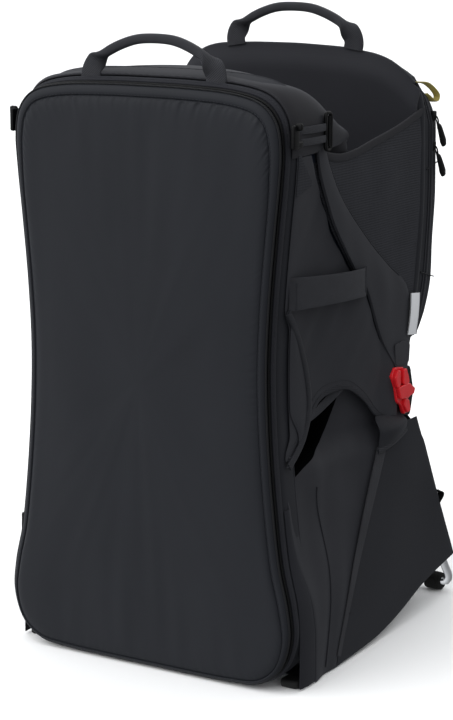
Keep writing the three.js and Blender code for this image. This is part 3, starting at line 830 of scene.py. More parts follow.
RIM = spline([(-66, 606), (-48, 596), (-8, 585), (30, 586), (74, 594), (130, 605), (186, 621)], 80)
DIAGONAL = [(112, 318), (107, 328), (69, 365), (36, 423), (7, 451), (-40, 503), (-90, 583), (-96, 592)]


def rim_z(y):
    """Height of the cockpit's side rim."""
    return np.interp(y, *RIM.T)


def upper_side_x(y, z):
    """Half width of the carrier's side above the hubs."""
    return lerp(half_width(z), 171.0, smooth(y, -103, 60))


def diagonal_y(z):
    """The line where the mesh meets the wing, by height."""
    return np.interp(z, [row[1] for row in DIAGONAL], [row[0] for row in DIAGONAL])


def diagonal_z(y):
    """The wing's upper edge, by depth."""
    return np.interp(y, [-96, -90, -40, 7, 36, 69, 100, 112], [592, 583, 503, 451, 423, 365, 338, 326])


def build_mesh_side(label, side):
    """Mesh panel beside the child, and the binding along its upper edge."""
    u, v = uv_grid(70, 60)
    z = lerp(316, rim_z(lerp(-66.0, 187.0, u)), v)
    y = lerp(diagonal_y(z) + 3, inner_wall_y(z) + 17, u)
    sag = 1.4 * hump(u) * hump(v) * soft_noise(y, z, 110, 4)
    x = 168.6 + sag - 1.5 * smooth(v, 0.86, 1)
    grid = mirrored(xyz(x, y, z), side)
    cloth("side_mesh_" + label, grid, 1.4, "knit", stands_for=["mesh_side_" + label])
    band = spline(grid[:, -1] + np.array([0.6 * side, 0, -3.2]), 90)
    put(bead("rim_binding_" + label, band, 9.5, 3.0, UP, squareness=3, sides=12), "stretch")


def build_side_lining(label, side):
    """Inner layer that closes the side behind the adjuster and the tension wing."""
    u, v = uv_grid(30, 30)
    y = lerp(-98, 70, u)
    z = lerp(400, rim_z(y) - 8, v)
    x = upper_side_x(y, z) - 5
    cloth("side_lining_" + label, mirrored(xyz(x, y, z), side), 1.2, "lining")


def build_wing(label, side):
    """Lower side panel between the harness side and the hub, cut away over the leg opening."""
    u, v = uv_grid(100, 80)
    y = lerp(WING_FRONT_Y, 112.0, u)
    z = lerp(arch_z(y), np.where(y < -96, 592.0, diagonal_z(y) - 1.5), v)
    slot = 12 * smooth(z, 262, 285) * (1 - smooth(z, 400, 428)) * (1 - u) ** 3
    x = upper_side_x(y, z) + 3 * (1 - smooth(y, -128, -60)) + 4.5 * smooth(y, 72, 98)
    x = x + 1.6 * hump(u, 0.8) * soft_noise(y * 0.8 + z * 0.4, z * 0.35 - y * 0.5, 90, 21)
    x = x + 1.2 * soft_noise(y - z * 0.7, z * 0.3, 46, 9) * smooth(v, 0.0, 0.3) * hump(u)
    grid = mirrored(xyz(x, y + slot, z), side)
    cloth("side_wing_" + label, grid, 1.8, "side", stands_for=["wing_panel_" + label])
    hem = grid[2:-1, 0] + np.array([0.3 * side, 0, 0.8])
    put(bead("arch_binding_" + label, spline(hem, 110), 6.5, 2.8, across=UP, squareness=3), "tape")
    line = grid[4:-2, 3] + np.array([1.2 * side, 0, 3.0])
    put(stitches("arch_stitching_" + label, spline(line, 160), (0, 0, 0)), "thread")


def build_wing_corners(label, side):
    """Light mesh gusset in the wing's top corner, and a near-black sheet that paints the shade in the gap between
    the band and the belt flap.
    """
    u, v = uv_grid(16, 26)
    z = lerp(lerp(549, 560, u), lerp(600, 562, u), v)
    y = lerp(-127, -94, u)
    x = upper_side_x(y, z) + 4.2
    cloth("corner_mesh_" + label, mirrored(xyz(x, y, z), side), 0.8, "knit")
    # painted shade: a near-black sheet in the slot between the band and the belt flap
    z = np.linspace(262, 428, 40)
    u = np.linspace(0, 1, 6)[None, :]
    gap = xyz(half_width(z)[:, None] - 1.5 + 0 * u, lerp(-130, -108, u), z[:, None])
    cloth("belt_slot_shade_" + label, mirrored(gap, side), 1.0, "dark")


def build_tension_wing(label, side):
    """Load-bearing wing from the hub up to the slim adjuster beside the collar."""
    n = 90
    left = spline([(-82, 603), (-76, 572), (-58, 536), (-38, 504), (7, 452), (36, 424), (69, 366),
                   (112, 312)], n)
    right = spline([(-62, 607), (-48, 576), (-18, 535), (41, 484), (91, 448), (140, 415), (150, 372),
                    (140, 312)], n)
    u = np.linspace(0, 1, 26)[None, :, None]
    yz = left[:, None] * (1 - u) + right[:, None] * u
    y, z = yz[..., 0], yz[..., 1]
    share = u[..., 0] + 0 * y
    fall = np.linspace(0, 1, n)[:, None] + 0 * share
    x = 173.6 + 2.6 * (1 - smooth(z, 322, 360)) - 2.4 * share + 1.2 * hump(share)
    x = x + 0.9 * soft_noise(y, z * 0.5, 70, 31) * hump(share) * hump(fall)
    grid = mirrored(xyz(x, y, z), side)
    cloth("hip_tension_" + label, grid, 2.0, "side", stands_for=["tension_wing_" + label])
    put(bead("tension_fold_" + label, grid[1:-1, 0] + np.array([0.2 * side, 1.2, 0.6]), 3.6, 2.6), "nylon")
    light = grid[2:60, -1] + np.array([0.8 * side, -0.8, -0.6])
    put(bead("tension_tape_" + label, light, 1.5, 1.0), "tape")


def build_adjuster(label, side):
    """Slim adjuster: two webbing loops from the band through a ladder-lock bar."""
    parts = []
    for z in (620.5, 608.0):
        path = spline([(175.5, -131, z), (178.6, -120, z), (180.4, -96, z), (179.6, -72, z)], 16)
        parts.append(bead("loop", mirrored(path, side), 8.2, 2.0, across=UP, squareness=4, sides=12))
    put(joined("adjuster_web_" + label, parts), "webbing", stands_for=["triglide_strap_" + label])
    frame_path = spline([(179, -71, 597), (179, -61, 597.5), (179, -60.5, 615), (179, -61, 633),
                         (179, -71, 633.5), (179, -71.5, 615)], 60, closed=True)
    ring = bead("bar", mirrored(frame_path, side), 4.4, 3.8, closed=True, sides=10)
    bar = bead("bar", mirrored(spline([(180.4, -66, 599), (180.4, -66, 632)], 6), side), 3.4, 3.0)
    put(joined("adjuster_bar_" + label, [ring, bar]), "plastic", stands_for=["triglide_" + label])
    hook = [box_loops((5, 12, 26), (184, -146, 616), 2.0), box_loops((9, 5, 8), (187, -143, 627), 2.0),
            box_loops((4, 16, 7), (181, -134, 607), 1.6)]
    hook = [tube_solid("hook", mirrored(loops, side)) for loops in hook]
    put(joined("adjuster_hook_" + label, hook), "plastic")


def grab_x(t, z):
    """How far out the grab strap stands, along its length."""
    return upper_side_x(lerp(-123, 33, t), z) + 3.4 + 12 * hump(t, 0.6)


def build_side_grab(label, side):
    """Flat webbing handle bowed out from the wing, tacked down at both ends."""
    t = np.linspace(0, 1, 40)
    mid = lerp(443, 436, t)
    path = xyz(grab_x(t, mid), lerp(-123, 33, t), mid)
    tall = lerp(37, 33, t) * (1 - 0.04 * hump(t))
    section = oval(1.0, 1.0, 20, 6.0)
    normal = np.cross(unit(np.gradient(path, axis=0)), [0, 0, 1.0])
    loops = path[:, None] + section[None, :, 1:2] * 3.0 * normal[:, None]
    loops[..., 2] += section[None, :, 0] * tall[:, None]
    strap = tube_solid("grab_web_" + label, mirrored(loops, side))
    put(strap, "webbing", stands_for=["side_grab_strap_" + label])
    for name, at in (("front", 0.05), ("rear", 0.95)):
        column = xyz(grab_x(at, 440) + 1.9, lerp(-123, 33, at), np.linspace(424, 455, 12))
        tack = stitches(f"grab_bartack_{name}_{label}", mirrored(column, side), (0, 0, 0), 2.2, 1.8, 1.4)
        put(tack, "thread")


STIRRUP = [
    (-126, 424), (-110, 404), (-96, 382), (-84, 354), (-78, 325), (-80, 300), (-92, 278), (-108, 264),
    (-127, 252),
]


def build_stirrup(label, side):
    """Flap beside the belt slot with its ribbed, bowed binding, and the short strap inside the arch."""
    bow = spline(STIRRUP, 60)
    u = np.linspace(0, 1, 16)[None, :]
    front_y = lerp(bow[:, 0:1] - 3, -116.0, smooth(bow[:, 1:2], 262, 312))
    y = lerp(np.minimum(front_y, bow[:, 0:1] - 1), bow[:, 0:1], u)
    z = np.broadcast_to(bow[:, 1:2], y.shape)
    x = upper_side_x(y, z) + 4.6 + 1.5 * hump(u)
    cloth("belt_flap_" + label, mirrored(xyz(x, y, z), side), 1.6, "side",
          stands_for=["stirrup_strap_" + label])
    path = xyz(upper_side_x(bow[:, 0], bow[:, 1]) + 6.0, bow[:, 0], bow[:, 1])
    edge = bead("belt_flap_binding_" + label, mirrored(path, side), 9.0, 3.2, across=BACK, squareness=3,
                sides=12)
    put(edge, "tape")
    inner = spline([(163, -2, 319), (158, -24, 306), (156, -50, 296), (160, -76, 294)], 30)
    put(bead("arch_strap_" + label, mirrored(inner, side), 11, 2.4, across=(0, 0.5, 1), squareness=4,
             sides=12), "webbing")


def build_cockpit():
    """Padded back wall with its rolled top edge, and the front wall."""
    u, v = uv_grid(110, 60)
    a = u * 2 - 1
    across = [-171, -163, -150, -139, -115, -60, 0, 69, 117, 140, 153, 163, 171]
    top = np.interp(a * 170, across, [634, 652, 668, 677, 685, 688, 688.5, 686, 679, 668, 657, 647, 636])
    z = lerp(326, running_mean(top, 4), v)
    x = a * lerp(152, 167, smooth(z, 330, 480))
    y = inner_wall_y(z) - 2 + 9 * smooth(v, 0.93, 1.0) + 1.6 * soft_noise(x, z, 160, 6)
    wall = xyz(x, y, z)
    back = put(sheet_solid("cockpit_back", wall, 8, edge=0.7), "foam", stands_for=["cockpit_back_wall"])
    ridge = bead("cockpit_rim_roll", wall[3:-3, -1] + np.array([0, 2.0, -1.0]), 9, 7, BACK, sides=12)
    put(ridge, "nylon", stands_for=["cockpit_frame_tube"])
    column = spline([(164, 147, 330), (165, 158, 372), (166, 170, 420), (166, 180, 500), (165, 181, 585),
                     (164, 180, 622), (161, 178, 636)], 60)
    for label, side in SIDES.items():
        put(bead("frame_edge_roll_" + label, mirrored(column, side), 10, 16, RIGHT, sides=14), "nylon")
    u, v = uv_grid(50, 50)
    z = lerp(318, 650, v)
    x = (u * 2 - 1) * np.minimum(half_width(z) - 9, 162)
    y = -96.5 + 2.2 * soft_noise(x, z, 120, 14)
    cloth("cockpit_front", xyz(x, y, z), 3.4, "lining", stands_for=["cockpit_front_wall"])


def build_seat():
    """Seat sling and cushion, which move together, and the child's harness."""
    u, v = uv_grid(50, 50)
    x = (u * 2 - 1) * 88
    y = lerp(-90, 117, v)
    z = 311.5 - 13 * np.abs(u * 2 - 1) ** 3 + 0.8 * soft_noise(x, y, 60, 2)
    cloth("seat_sling", xyz(x, y, z), 3.4, "lining", "seat", ["seat_shell"])
    cushion = xyz((u * 2 - 1) * 60, lerp(-54, 104, v), 328 + 4.5 * hump(u))
    thick = SEAT_PAD * (0.25 + 0.75 * (hump(u) * hump(v)) ** 0.3)
    pad_piece("seat_cushion", cushion, thick, body="seat", stands_for=["seat_pad"])
    u, v = uv_grid(16, 60)
    z = lerp(397, 560, v)
    strap = xyz(lerp(25, 59, u), inner_wall_y(z) - 11 - hump(u), z)
    thick = CHILD_PAD * (0.5 + 0.5 * hump(u, 0.35))
    for label, side in SIDES.items():
        pad_piece("child_strap_pad_" + label, mirrored(strap, side), thick,
                  stands_for=["child_strap_" + label], edge=0.3)
    y = float(inner_wall_y(430)) - 13
    body = tube_solid("catch", box_loops((38, 8.6, 46), (0, y, 432), 5))
    button = tube_solid("catch", box_loops((15, 3, 15), (0, y - 4.6, 430), 1.4))
    put(joined("child_harness_buckle", [body, button]), "plastic", stands_for=["child_buckle"])


# ---- Rear pocket --------------------------------------------------------------------------------------------------

def pack_section(z, count=96):
    """Rear pocket's plan section at height z, as count points."""
    half = np.interp(z, [330, 372, 430, 600, 632, 655, 674], [160, 165, 167, 167, 160, 148, 126])
    front = inner_wall_y(z) + 18.5
    rear = outer_wall_y(z) + 13 + 7 * (1 - smooth(z, 360, 470))
    r = min(18.0, (rear - front) * 0.7)
    t = np.linspace(0, math.pi / 2, 14)
    corner = np.stack([half - r + r * np.cos(t), rear - r + r * np.sin(t)], axis=1)
    back_x = np.linspace(half - r, 0, 14)[1:]
    back = np.stack([back_x, rear + 8 * (1 - (back_x / (half - r)) ** 2)], axis=1)
    right = np.vstack([[[half, front]], corner, back])
    full = np.vstack([right, right[:-1][::-1] * [-1, 1]])
    at, known = np.linspace(0, 1, count), np.linspace(0, 1, len(full))
    return np.stack([np.interp(at, known, full[:, k]) for k in (0, 1)], axis=1)


def build_rear_pack():
    """The padded pocket on the back, with two taped seams down each side."""
    levels = np.concatenate([np.linspace(333, 660, 60), [664, 668, 671, 673]])
    loops = []
    for z in levels:
        s = pack_section(z)
        shrink = 1 - 0.05 * smooth(z, 655, 673)
        low = smooth(z, 333, 352)
        x = s[:, 0] * (0.93 + 0.07 * low) * shrink
        y = lerp(s[:, 1].min(), s[:, 1], (0.75 + 0.25 * low) * shrink)
        wrinkle = 1.3 * soft_noise(x, np.full_like(x, z) * 0.8, 85, 17)
        wrinkle = wrinkle * smooth(y, s[:, 1].min() + 4, s[:, 1].max())
        loops.append(xyz(x, y + wrinkle, z))
    pack = tube_solid("rear_pocket", np.array(loops), sharp_deg=60)
    put(pack, "nylon", stands_for=["rear_pack"])
    for name, share, width in (("outer", 0.30, 4.2), ("inner", 0.12, 2.2)):
        for label, side in SIDES.items():
            points = []
            for z in np.linspace(348, 655, 50):
                s = pack_section(z)
                row = s[s[:, 0] > 0]
                front, rear = row[:, 1].min(), row[:, 1].max()
                y = lerp(front, rear - 14, share + 0.2)
                x = np.interp(y, row[:14, 1], row[:14, 0])
                points.append((x + 0.4, y, z))
            path = mirrored(np.array(points), side)
            put(bead(f"pocket_seam_{name}_{label}", path, width, 1.4, across=BACK, squareness=3), "tape")


def pocket_face_y(x, z):
    return outer_wall_y(z) + 13 + 8 * (1 - (x / 146) ** 2)


def build_pocket_details():
    """Short seams across the pocket's side panels, and a zipped rear pocket face."""
    for label, side in SIDES.items():
        seams = []
        for z0, z1 in ((546, 554), (424, 414)):
            mid = 0.5 * (z0 + z1)
            y = np.linspace(inner_wall_y(mid) + 24, outer_wall_y(mid) + 8, 12)
            z = np.linspace(z0, z1, 12)
            seams.append(bead("seam", mirrored(xyz(167.6 + 0 * y, y, z), side), 1.6, 1.4))
        put(joined("pocket_side_seams_" + label, seams), "zip")
    x = np.linspace(-138, 138, 60)
    z = 560 + 16 * (1 - (x / 138) ** 2)
    y = pocket_face_y(x, z) + 1.0
    put(bead("rear_pocket_zip", xyz(x, y, z), 9, 2.4, across=UP, squareness=4, sides=12), "zip")
    put(bead("rear_pocket_flap", xyz(x, y + 1.2, z + 5.5), 7, 3.0, across=UP, squareness=3, sides=12),
        "nylon")
    pull = box_loops((5, 4, 26), (-128, float(y[2]) + 3, 548), 1.4)
    put(tube_solid("rear_pocket_pull", pull), "plastic")
    for z0 in (384, 470):
        z = z0 + 0 * x
        seam = xyz(x, pocket_face_y(x, z) + 0.6, z)
        put(bead(f"rear_pocket_seam_{z0}", seam, 3.4, 2.0, across=UP, squareness=3), "tape")


# ---- Lower compartment --------------------------------------------------------------------------------------------

SEAM = [(-48, 2), (-39, 31), (-6, 102), (14, 140), (43, 192), (62, 228), (74, 256), (80, 270)]  # (y, z)
seam_y = curve_of([(z, y) for y, z in SEAM])


def skirt_x(y, z):
    """Half width of the lower compartment."""
    return lerp(lerp(185.5, 178, smooth(y, -100, 268)), 178.0, smooth(z, 30, 252))


def channel(u, z):
    """Points of the panel under the leg opening: u runs from the band to the taped seam."""
    front = lerp(-104.0, -128.0, smooth(z, 50, 200))
    y = lerp(front, seam_y(np.minimum(z, 256)) + 14 * smooth(z, 225, 262), u)
    edge = half_width(z) + 2.2
    outer = lerp(skirt_x(y, z) + 0.5, 165.0, smooth(z, 232, 264))
    dent = 15 * smooth(z, 70, 220) * hump(u) ** 0.8
    x = lerp(edge, outer, smooth(u, 0, 0.45)) - dent
    folds = 1.8 * soft_noise(y, z * 0.7, 80, 12) + 1.6 * soft_noise(y * 1.5, z * 0.35, 60, 44)
    return xyz(x + folds * hump(u), y, z)


def build_skirt_front(label, side):
    """Panel under the leg opening, its lining coloured near-black as painted shade, a near-black sheet behind it
    that paints the shade in the hollow, and the corner cloth before it.
    """
    u, v = uv_grid(70, 70)
    knots = [0, 0.05, 0.1, 0.2, 0.3, 0.4, 0.5, 0.55, 0.6, 0.65, 0.7, 0.8, 1]
    top = np.interp(u, knots, [234, 230, 228, 234, 242, 248, 254, 262, 274, 304, 322, 328, 332])
    top = running_mean(top, 3)
    panel = channel(u, lerp(floor_z(lerp(-104, -46, u)), top, v))
    panel[..., 0] -= 4 * smooth(v, 0.86, 1.0) ** 1.5 * (1 - smooth(u, 0.6, 0.8))
    cloth("leg_channel_" + label, mirrored(panel, side), 1.8, "side", stands_for=["skirt_front_" + label])
    # the lining rolls inward from the panel's top edge; it is the real inner lining, coloured near-black as painted
    # shade
    edge = panel[:, -1][:, None]
    inner = edge * np.array([0, 1, 1.0]) + np.array([112.0, 8.0, -20.0])
    lining = lerp(edge + np.array([-1.0, 0, -2.5]), inner, np.linspace(0, 1, 16)[None, :, None])
    cloth("leg_lining_shade_" + label, mirrored(lining, side), 1.6, "dark")
    # painted shade: a near-black sheet behind the leg opening, where there is only shade
    u, v = uv_grid(12, 12)
    hollow = xyz(93 + 0 * u, lerp(-118, 120, u), lerp(200, 350, v))
    cloth("leg_hollow_shade_" + label, mirrored(hollow, side), 1.5, "dark")
    z = np.linspace(10, 215, 60)
    seam = channel(0.50 - 0.14 * smooth(z, 110, 215), z) + np.array([1.2, 0, 0])
    put(bead("channel_seam_" + label, mirrored(seam, side), 2.2, 1.2), "nylon")
    u, v = uv_grid(14, 50)
    z = lerp(2.5, 205, v)
    y = lerp(-137.2, lerp(-102.5, -126.5, smooth(z, 50, 200)), u)
    x = half_width(np.maximum(z, 62)) + 1.4 + 1.2 * hump(u)
    cloth("corner_cloth_" + label, mirrored(xyz(x, y, z), side), 1.8, "band")


def build_skirt_side(label, side):
    """Panel between the taped seam and the kickstand."""
    u, v = uv_grid(80, 60)
    even = lerp(-48.0, 267.0, u)
    z = lerp(254.0, floor_z(even), v)
    rear = lerp(157.0, 267.0, (254.0 - z) / 199)
    y = np.where(z < 55, lerp(seam_y(z), even, smooth(u, 0, 0.2)), lerp(seam_y(z), rear, u))
    x = skirt_x(y, z) + 1.0 + 2.2 * hump(u) * hump(v) * soft_noise(y * 0.8 + z * 0.3, z * 0.8, 120, 27)
    cloth("kickstand_skirt_" + label, mirrored(xyz(x, y, z), side), 1.6, "nylon", "folding",
          ["skirt_side_" + label])


def build_skirt(label, side):
    build_skirt_front(label, side)
    build_skirt_side(label, side)
    z = np.linspace(14, 234, 80)
    y = seam_y(z)
    path = mirrored(xyz(skirt_x(y, z) + 3.0, y, z), side)
    scale = lerp(0.5, 1.2, smooth(z, 20, 240))
    put(bead("seam_tape_" + label, path, 17, 2.4, across=(0, 1, -0.5), squareness=5, sides=14,
             scale=scale), "fuzz", "folding")


def build_skirt_rear():
    """Rear panel between the kickstand's legs, and the floor panel."""
    u, v = uv_grid(60, 40)
    x = (u * 2 - 1) * lerp(148, 176, smooth(v, 0.05, 0.35))
    y = np.maximum(lerp(142, 269, v), 150) + 2.5 * hump(u) * hump(v) * soft_noise(x, v * 200, 120, 51)
    z = lerp(300, 56, v)
    cloth("skirt_back", xyz(x, y, z), 1.6, "nylon", "folding back", ["skirt_rear"])
    y = lerp(-104, 262, v)
    x = (u * 2 - 1) * lerp(180, 174, v)
    z = floor_z(y) + 3 - 4 * hump(u) * smooth(v, 0.2, 0.9)
    cloth("skirt_base", xyz(x, y, z), 1.6, "nylon", "folding", ["skirt_floor"])


# ---- Frame and hardware -------------------------------------------------------------------------------------------

KICKSTAND_HALF = [
    (149, 128, 288), (150, 164, 222), (159, 218, 122), (168, 264, 39), (170, 272, 24), (167.5, 274.6, 15.5),
    (161, 275, 13), (148, 275, 13), (90, 275, 13),
]


def build_frame():
    """Kickstand bow with its hinge eyes and ribbed feet, and the front legs with theirs."""
    path = spline(KICKSTAND_HALF + there_and_back(KICKSTAND_HALF), 200)
    tube = bead("kickstand_bow", path, 10, 10, sides=20)
    eyes = []
    for side in SIDES.values():
        ring = swept([(side * 143.5, HUB_Y, HUB_Z), (side * 154.5, HUB_Y, HUB_Z)], oval(20, 20, 32),
                     across=BACK)
        eyes.append(tube_solid("eye", ring))
    put(joined("kickstand_bow", [tube, *eyes]), "metal", "kickstand", ["kickstand_tube"])
    for label, side in SIDES.items():
        loops = []
        for t in np.linspace(0, 1, 45):
            r = 10.6 + (1.0 if int(t * 44) % 4 < 2 else 0.0) - 3.0 * (1 - hump(t, 0.25))
            ring = oval(2 * r, 2 * r, 32)
            flat = np.maximum(ring[:, 1], -11.3)
            loops.append(xyz(side * lerp(137, 160, t), 278 + ring[:, 0], 11.4 + flat))
        put(tube_solid("ribbed_foot_" + label, np.array(loops), sharp_deg=30), "rubber", "kickstand",
            ["rear_foot_" + label])
        leg = spline([(166, 104, 250), (167, 8, 145), (168, -88, 40)], 30)
        put(bead("front_strut_" + label, mirrored(leg, side), 12, 12, sides=20), "metal",
            stands_for=["front_leg_tube_" + label])
        foot = tube_solid("front_glide_" + label,
                          mirrored(box_loops((25, 27, 9.2), (173, -121, 4.7), 2.6), side))
        put(foot, "rubber", stands_for=["front_foot_" + label])


def plate(name, points, x0, x1, bevel=1.2):
    """A side-view outline, (y, z) points, as a plate with rounded edges."""
    x0, x1 = sorted((x0, x1))
    p = np.repeat(np.array(points, float), 8, axis=0)
    p = lerp(p, np.roll(p, -8, axis=0), (np.arange(len(p)) % 8)[:, None] / 8)
    p = (np.roll(p, 1, axis=0) + 2 * p + np.roll(p, -1, axis=0)) / 4
    middle = p.mean(axis=0)
    loops = []
    for x, grow in ((x0, -bevel), (x0 + bevel * 0.4, -bevel * 0.3), (x0 + bevel, 0), (x1 - bevel, 0),
                    (x1 - bevel * 0.4, -bevel * 0.3), (x1, -bevel)):
        out = unit(p - middle)
        q = p + out * grow
        loops.append(xyz(x, q[:, 0], q[:, 1]))
    return tube_solid(name, np.array(loops), sharp_deg=40)


LATCH_PLATES = [  # side outline as (y, z), inner x, outer x
    ([(91, 314), (98, 324), (120, 321), (126, 311), (129, 302), (143, 294), (146, 287), (141, 283),
      (132, 279), (136, 264), (124, 263), (117, 275), (106, 281), (100, 299)], 174.8, 179.6),
    ([(92, 313), (98, 322), (104, 320), (105, 303), (102, 299), (97, 301)], 179.0, 184.6),
    ([(112, 320), (119, 320), (125, 310), (127, 302), (119, 299), (112, 303)], 179.0, 184.8),
    ([(99, 300), (113, 301), (128, 301), (142, 292), (139, 286), (118, 284), (106, 285)], 179.0, 184.9),
    ([(120, 284), (130, 280), (134, 266), (126, 265), (118, 275)], 179.0, 183.4),
]


def build_hub(label, side):
    """Hinge housing and its stepped red latch."""
    hub_outline = [(112, 262), (150, 256), (159, 285), (149, 317), (119, 322), (103, 296)]
    hub = plate("hub", hub_outline, side * 156, side * 174)
    cap = bead("hub", [(side * 173, HUB_Y, HUB_Z), (side * 175.5, HUB_Y, HUB_Z)], 22, 22, across=BACK,
               sides=32)
    put(joined("pivot_housing_" + label, [hub, cap]), "plastic", stands_for=["hinge_hub_" + label])
    parts = [plate("lever", points, side * x0, side * x1, 1.0) for points, x0, x1 in LATCH_PLATES]
    put(joined("red_latch_" + label, parts), "latch", "latch_" + label, ["latch_lever_" + label])


def build_latch_flap(label, side):
    """Pouch of fabric under the latch, with a ribbed lower edge."""
    u, v = uv_grid(34, 26)
    top_y, low_y = lerp(62, 128, u), lerp(53, 124, u)
    y = lerp(top_y, low_y, v)
    z = lerp(lerp(272, 264, u), lerp(233, 238, u) + 8 * u**2, v)
    x = lerp(173.5, skirt_x(y, z) + 4.5, smooth(v, 0, 0.5)) + 5.5 * hump(u) * hump(v * 0.85 + 0.05)
    grid = mirrored(xyz(x, y, z), side)
    cloth("latch_pouch_" + label, grid, 1.6, "nylon")
    put(bead("latch_pouch_edge_" + label, grid[:, -1] + np.array([0.3 * side, 0, 0]), 7, 2.6, across=UP,
             squareness=3), "tape")
    patch_points = [(104, 326), (120, 322), (138, 324), (140, 346), (122, 352), (102, 350)]
    put(plate("hub_patch_" + label, patch_points, side * 176.4, side * 177.6, 0.3), "fuzz")


# ---- Handles, zips, tabs ------------------------------------------------------------------------------------------

HANDLE_HEIGHT = 49


def build_handle(name, node, body, y, z, lean):
    """Webbing handle: flat sewn ends, rolled to a round grip in the middle."""
    shape = [(81, 0), (82, 0.18), (78, 0.38), (65, 0.62), (43, 0.84), (18, 0.97)]  # x, share of the height
    right = [(x, y + lean * s, z + s * HANDLE_HEIGHT) for x, s in shape]
    path = spline(right + there_and_back(right), 130)
    t = np.linspace(0, 1, len(path))
    flat = 1 - smooth(np.minimum(t, 1 - t), 0.07, 0.22)
    tangent = unit(np.gradient(path, axis=0))
    turn = lerp(np.array(BACK), np.array(RIGHT), flat[:, None])
    across = unit(turn - tangent * np.sum(turn * tangent, axis=1, keepdims=True))
    normal = np.cross(tangent, across)
    base = oval(1, 1, 20, 2.6)[None, :, :, None]
    wide = (lerp(11.0, 26.0, flat)[:, None] * across)[:, None]
    deep = (lerp(11.0, 3.4, flat)[:, None] * normal)[:, None]
    loops = path[:, None] + base[:, :, 0] * wide + base[:, :, 1] * deep
    put(tube_solid(name, loops), "webbing", body, [node])


def build_zips():
    """Sliders of the rear pocket, each with a ring and a ribbon-shaped grip."""
    for label, z in (("upper", 608), ("lower", 572)):
        slider = tube_solid("zip_car_" + label, box_loops((5.5, 9, 12), (166, 213, z), 1.6))
        put(slider, "plastic", "slider_" + label, ["zip_slider_" + label])
        loop = [(168, 213, z), (170.5, 214, z - 1.5), (171.5, 215.5, z - 7), (171.5, 214.5, z - 13),
                (171, 212.5, z - 7)]
        ring = bead("part", spline(loop, 26, closed=True), 1.8, closed=True)
        grip = spline([(171.5, 216, z - 10), (172, 222, z - 20), (172.5, 230, z - 36)], 24)
        scale = np.interp(np.linspace(0, 1, 24), [0, 0.1, 0.3, 0.8, 1], [0.5, 0.9, 1.0, 1.25, 0.9])
        grip = bead("part", grip, 8.0, 5.0, across=BACK, squareness=3, sides=12, scale=scale)
        put(joined("zip_pull_" + label, [ring, grip]), "plastic", "puller_" + label,
            ["zip_puller_" + label])


def build_tabs():
    """Small things sewn on the right side only: label, pull tab and strap end."""
    u, v = uv_grid(10, 24)
    y = lerp(lerp(138, 145, v), lerp(160, 169, v), u)
    z = lerp(lerp(356, 405, v), lerp(353, 402, v), u)
    x = 174.6 + 1.2 * hump(v)
    grid = xyz(x, y, z)
    cloth("blank_label", grid, 0.7, "label")
    border = [bead("edge", row + [0.6, 0, 0], 0.9, 0.6) for row in (grid[0], grid[-1])]
    put(joined("label_edges", border), "thread")
    loop = spline([(151, 190, 649), (157, 211, 646), (160, 232, 632), (160, 226, 624), (157, 207, 634)], 30)
    put(bead("ochre_pull_tab", loop, 9, 1.6, across=(1, 0, 0.1), squareness=4, sides=12), "ochre")
    tab = spline([(177, 218, 148), (178, 230, 141), (177, 222, 132)], 20)
    put(bead("skirt_tab_right", tab, 9, 2.0, across=RIGHT, squareness=4, sides=12), "plastic", "kickstand")


# ---- Stage --------------------------------------------------------------------------------------------------------

def build_camera():
    camera = bpy.data.objects.new("camera", bpy.data.cameras.new("camera"))
    bpy.context.scene.collection.objects.link(camera)
    azimuth = math.radians(CAMERA_AZIMUTH)
    camera.location = (
        math.sin(azimuth) * CAMERA_AWAY + math.cos(azimuth) * CAMERA_ASIDE,
        -math.cos(azimuth) * CAMERA_AWAY + math.sin(azimuth) * CAMERA_ASIDE - CENTRE_Y * MM,
        CAMERA_HEIGHT,
    )
    camera.rotation_euler = (math.pi / 2 - math.radians(CAMERA_PITCH), 0, azimuth)
    camera.data.sensor_width = 36
    camera.data.lens = CAMERA_LENS
    camera.data.clip_end = 40
    bpy.context.scene.camera = camera


def area_light(name, place, target, size, power):
    light = bpy.data.lights.new(name, "AREA")
    light.shape = "DISK"
    light.size = size
    light.energy = power
    lamp = bpy.data.objects.new(name, light)
    bpy.context.scene.collection.objects.link(lamp)
    lamp.location = place
    lamp.rotation_euler = (Vector(place) - Vector(target)).to_track_quat("Z", "Y").to_euler()


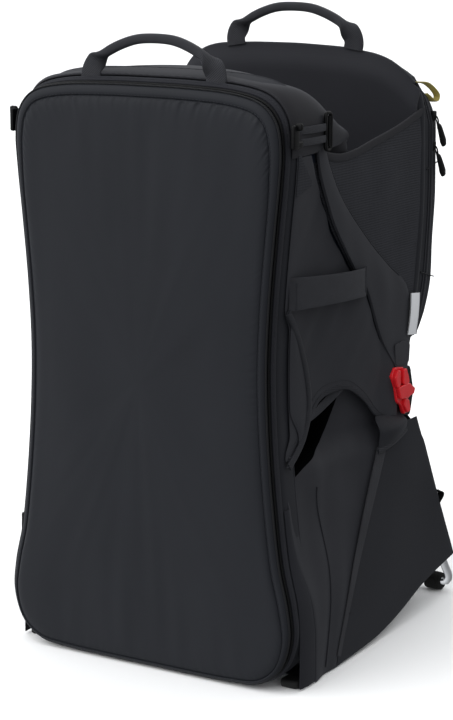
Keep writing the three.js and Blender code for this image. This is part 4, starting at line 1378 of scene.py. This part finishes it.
def build_stage():
    """Graded studio world, white floor, a soft sun from the left and a rim light."""
    bpy.context.scene.view_settings.view_transform = "Standard"
    studio = bpy.data.worlds.new("studio")
    bpy.context.scene.world = studio
    studio.use_nodes = True
    background = studio.node_tree.nodes["Background"]
    background.inputs["Color"].default_value = (0.97, 0.985, 1.0, 1)
    tree = studio.node_tree
    direction = tree.nodes.new("ShaderNodeVectorMath")
    direction.operation = "DOT_PRODUCT"
    direction.inputs[1].default_value = (-0.62, -0.50, 0.60)
    tree.links.new(tree.nodes.new("ShaderNodeTexCoord").outputs["Generated"], direction.inputs[0])
    level = tree.nodes.new("ShaderNodeMapRange")
    level.inputs["From Min"].default_value = -1.0
    level.inputs["To Min"].default_value = WORLD_DIM
    level.inputs["To Max"].default_value = WORLD_BRIGHT
    tree.links.new(direction.outputs["Value"], level.inputs["Value"])
    tree.links.new(level.outputs["Result"], background.inputs["Strength"])
    mesh = bpy.data.meshes.new("floor")
    ring = [(FLOOR_RADIUS * math.cos(t), FLOOR_RADIUS * math.sin(t), 0) for t in np.arange(48) / 48 * TAU]
    mesh.from_pydata(ring, [], [tuple(range(48))])
    floor = bpy.data.objects.new("floor", mesh)
    bpy.context.scene.collection.objects.link(floor)
    s = Shader("studio_floor", "none", (0.985, 0.985, 0.985), 0.7, specular=0.1)
    floor.data.materials.append(s.finish(s.shades(s.noise(300), 0.005)))
    floor.visible_diffuse = False
    floor.visible_glossy = False
    sun = bpy.data.lights.new("key", "SUN")
    sun.energy = KEY_STRENGTH
    sun.angle = math.radians(SUN_WIDTH)
    lamp = bpy.data.objects.new("key", sun)
    bpy.context.scene.collection.objects.link(lamp)
    lamp.rotation_euler = Vector((-0.35, -0.75, 0.85)).to_track_quat("Z", "Y").to_euler()
    area_light("rim", (1.2, 2.6, 2.2), (0, 0, 0.5), 1.2, RIM_POWER)


build_camera()
build_stage()
build_cover()
build_band()
build_harness()
build_collar()
build_cockpit()
build_seat()
build_rear_pack()
build_pocket_details()
build_skirt_rear()
build_frame()
for label, side in SIDES.items():
    build_mesh_side(label, side)
    build_side_lining(label, side)
    build_wing(label, side)
    build_wing_corners(label, side)
    build_tension_wing(label, side)
    build_adjuster(label, side)
    build_side_grab(label, side)
    build_stirrup(label, side)
    build_skirt(label, side)
    build_hub(label, side)
    build_latch_flap(label, side)
build_handle("front_grab_handle", "front_handle", "front_carry_handle", -140, 664, 8)
build_handle("rear_grab_handle", "rear_handle", "rear_carry_handle", 168, 686, 0)
build_zips()
build_tabs()
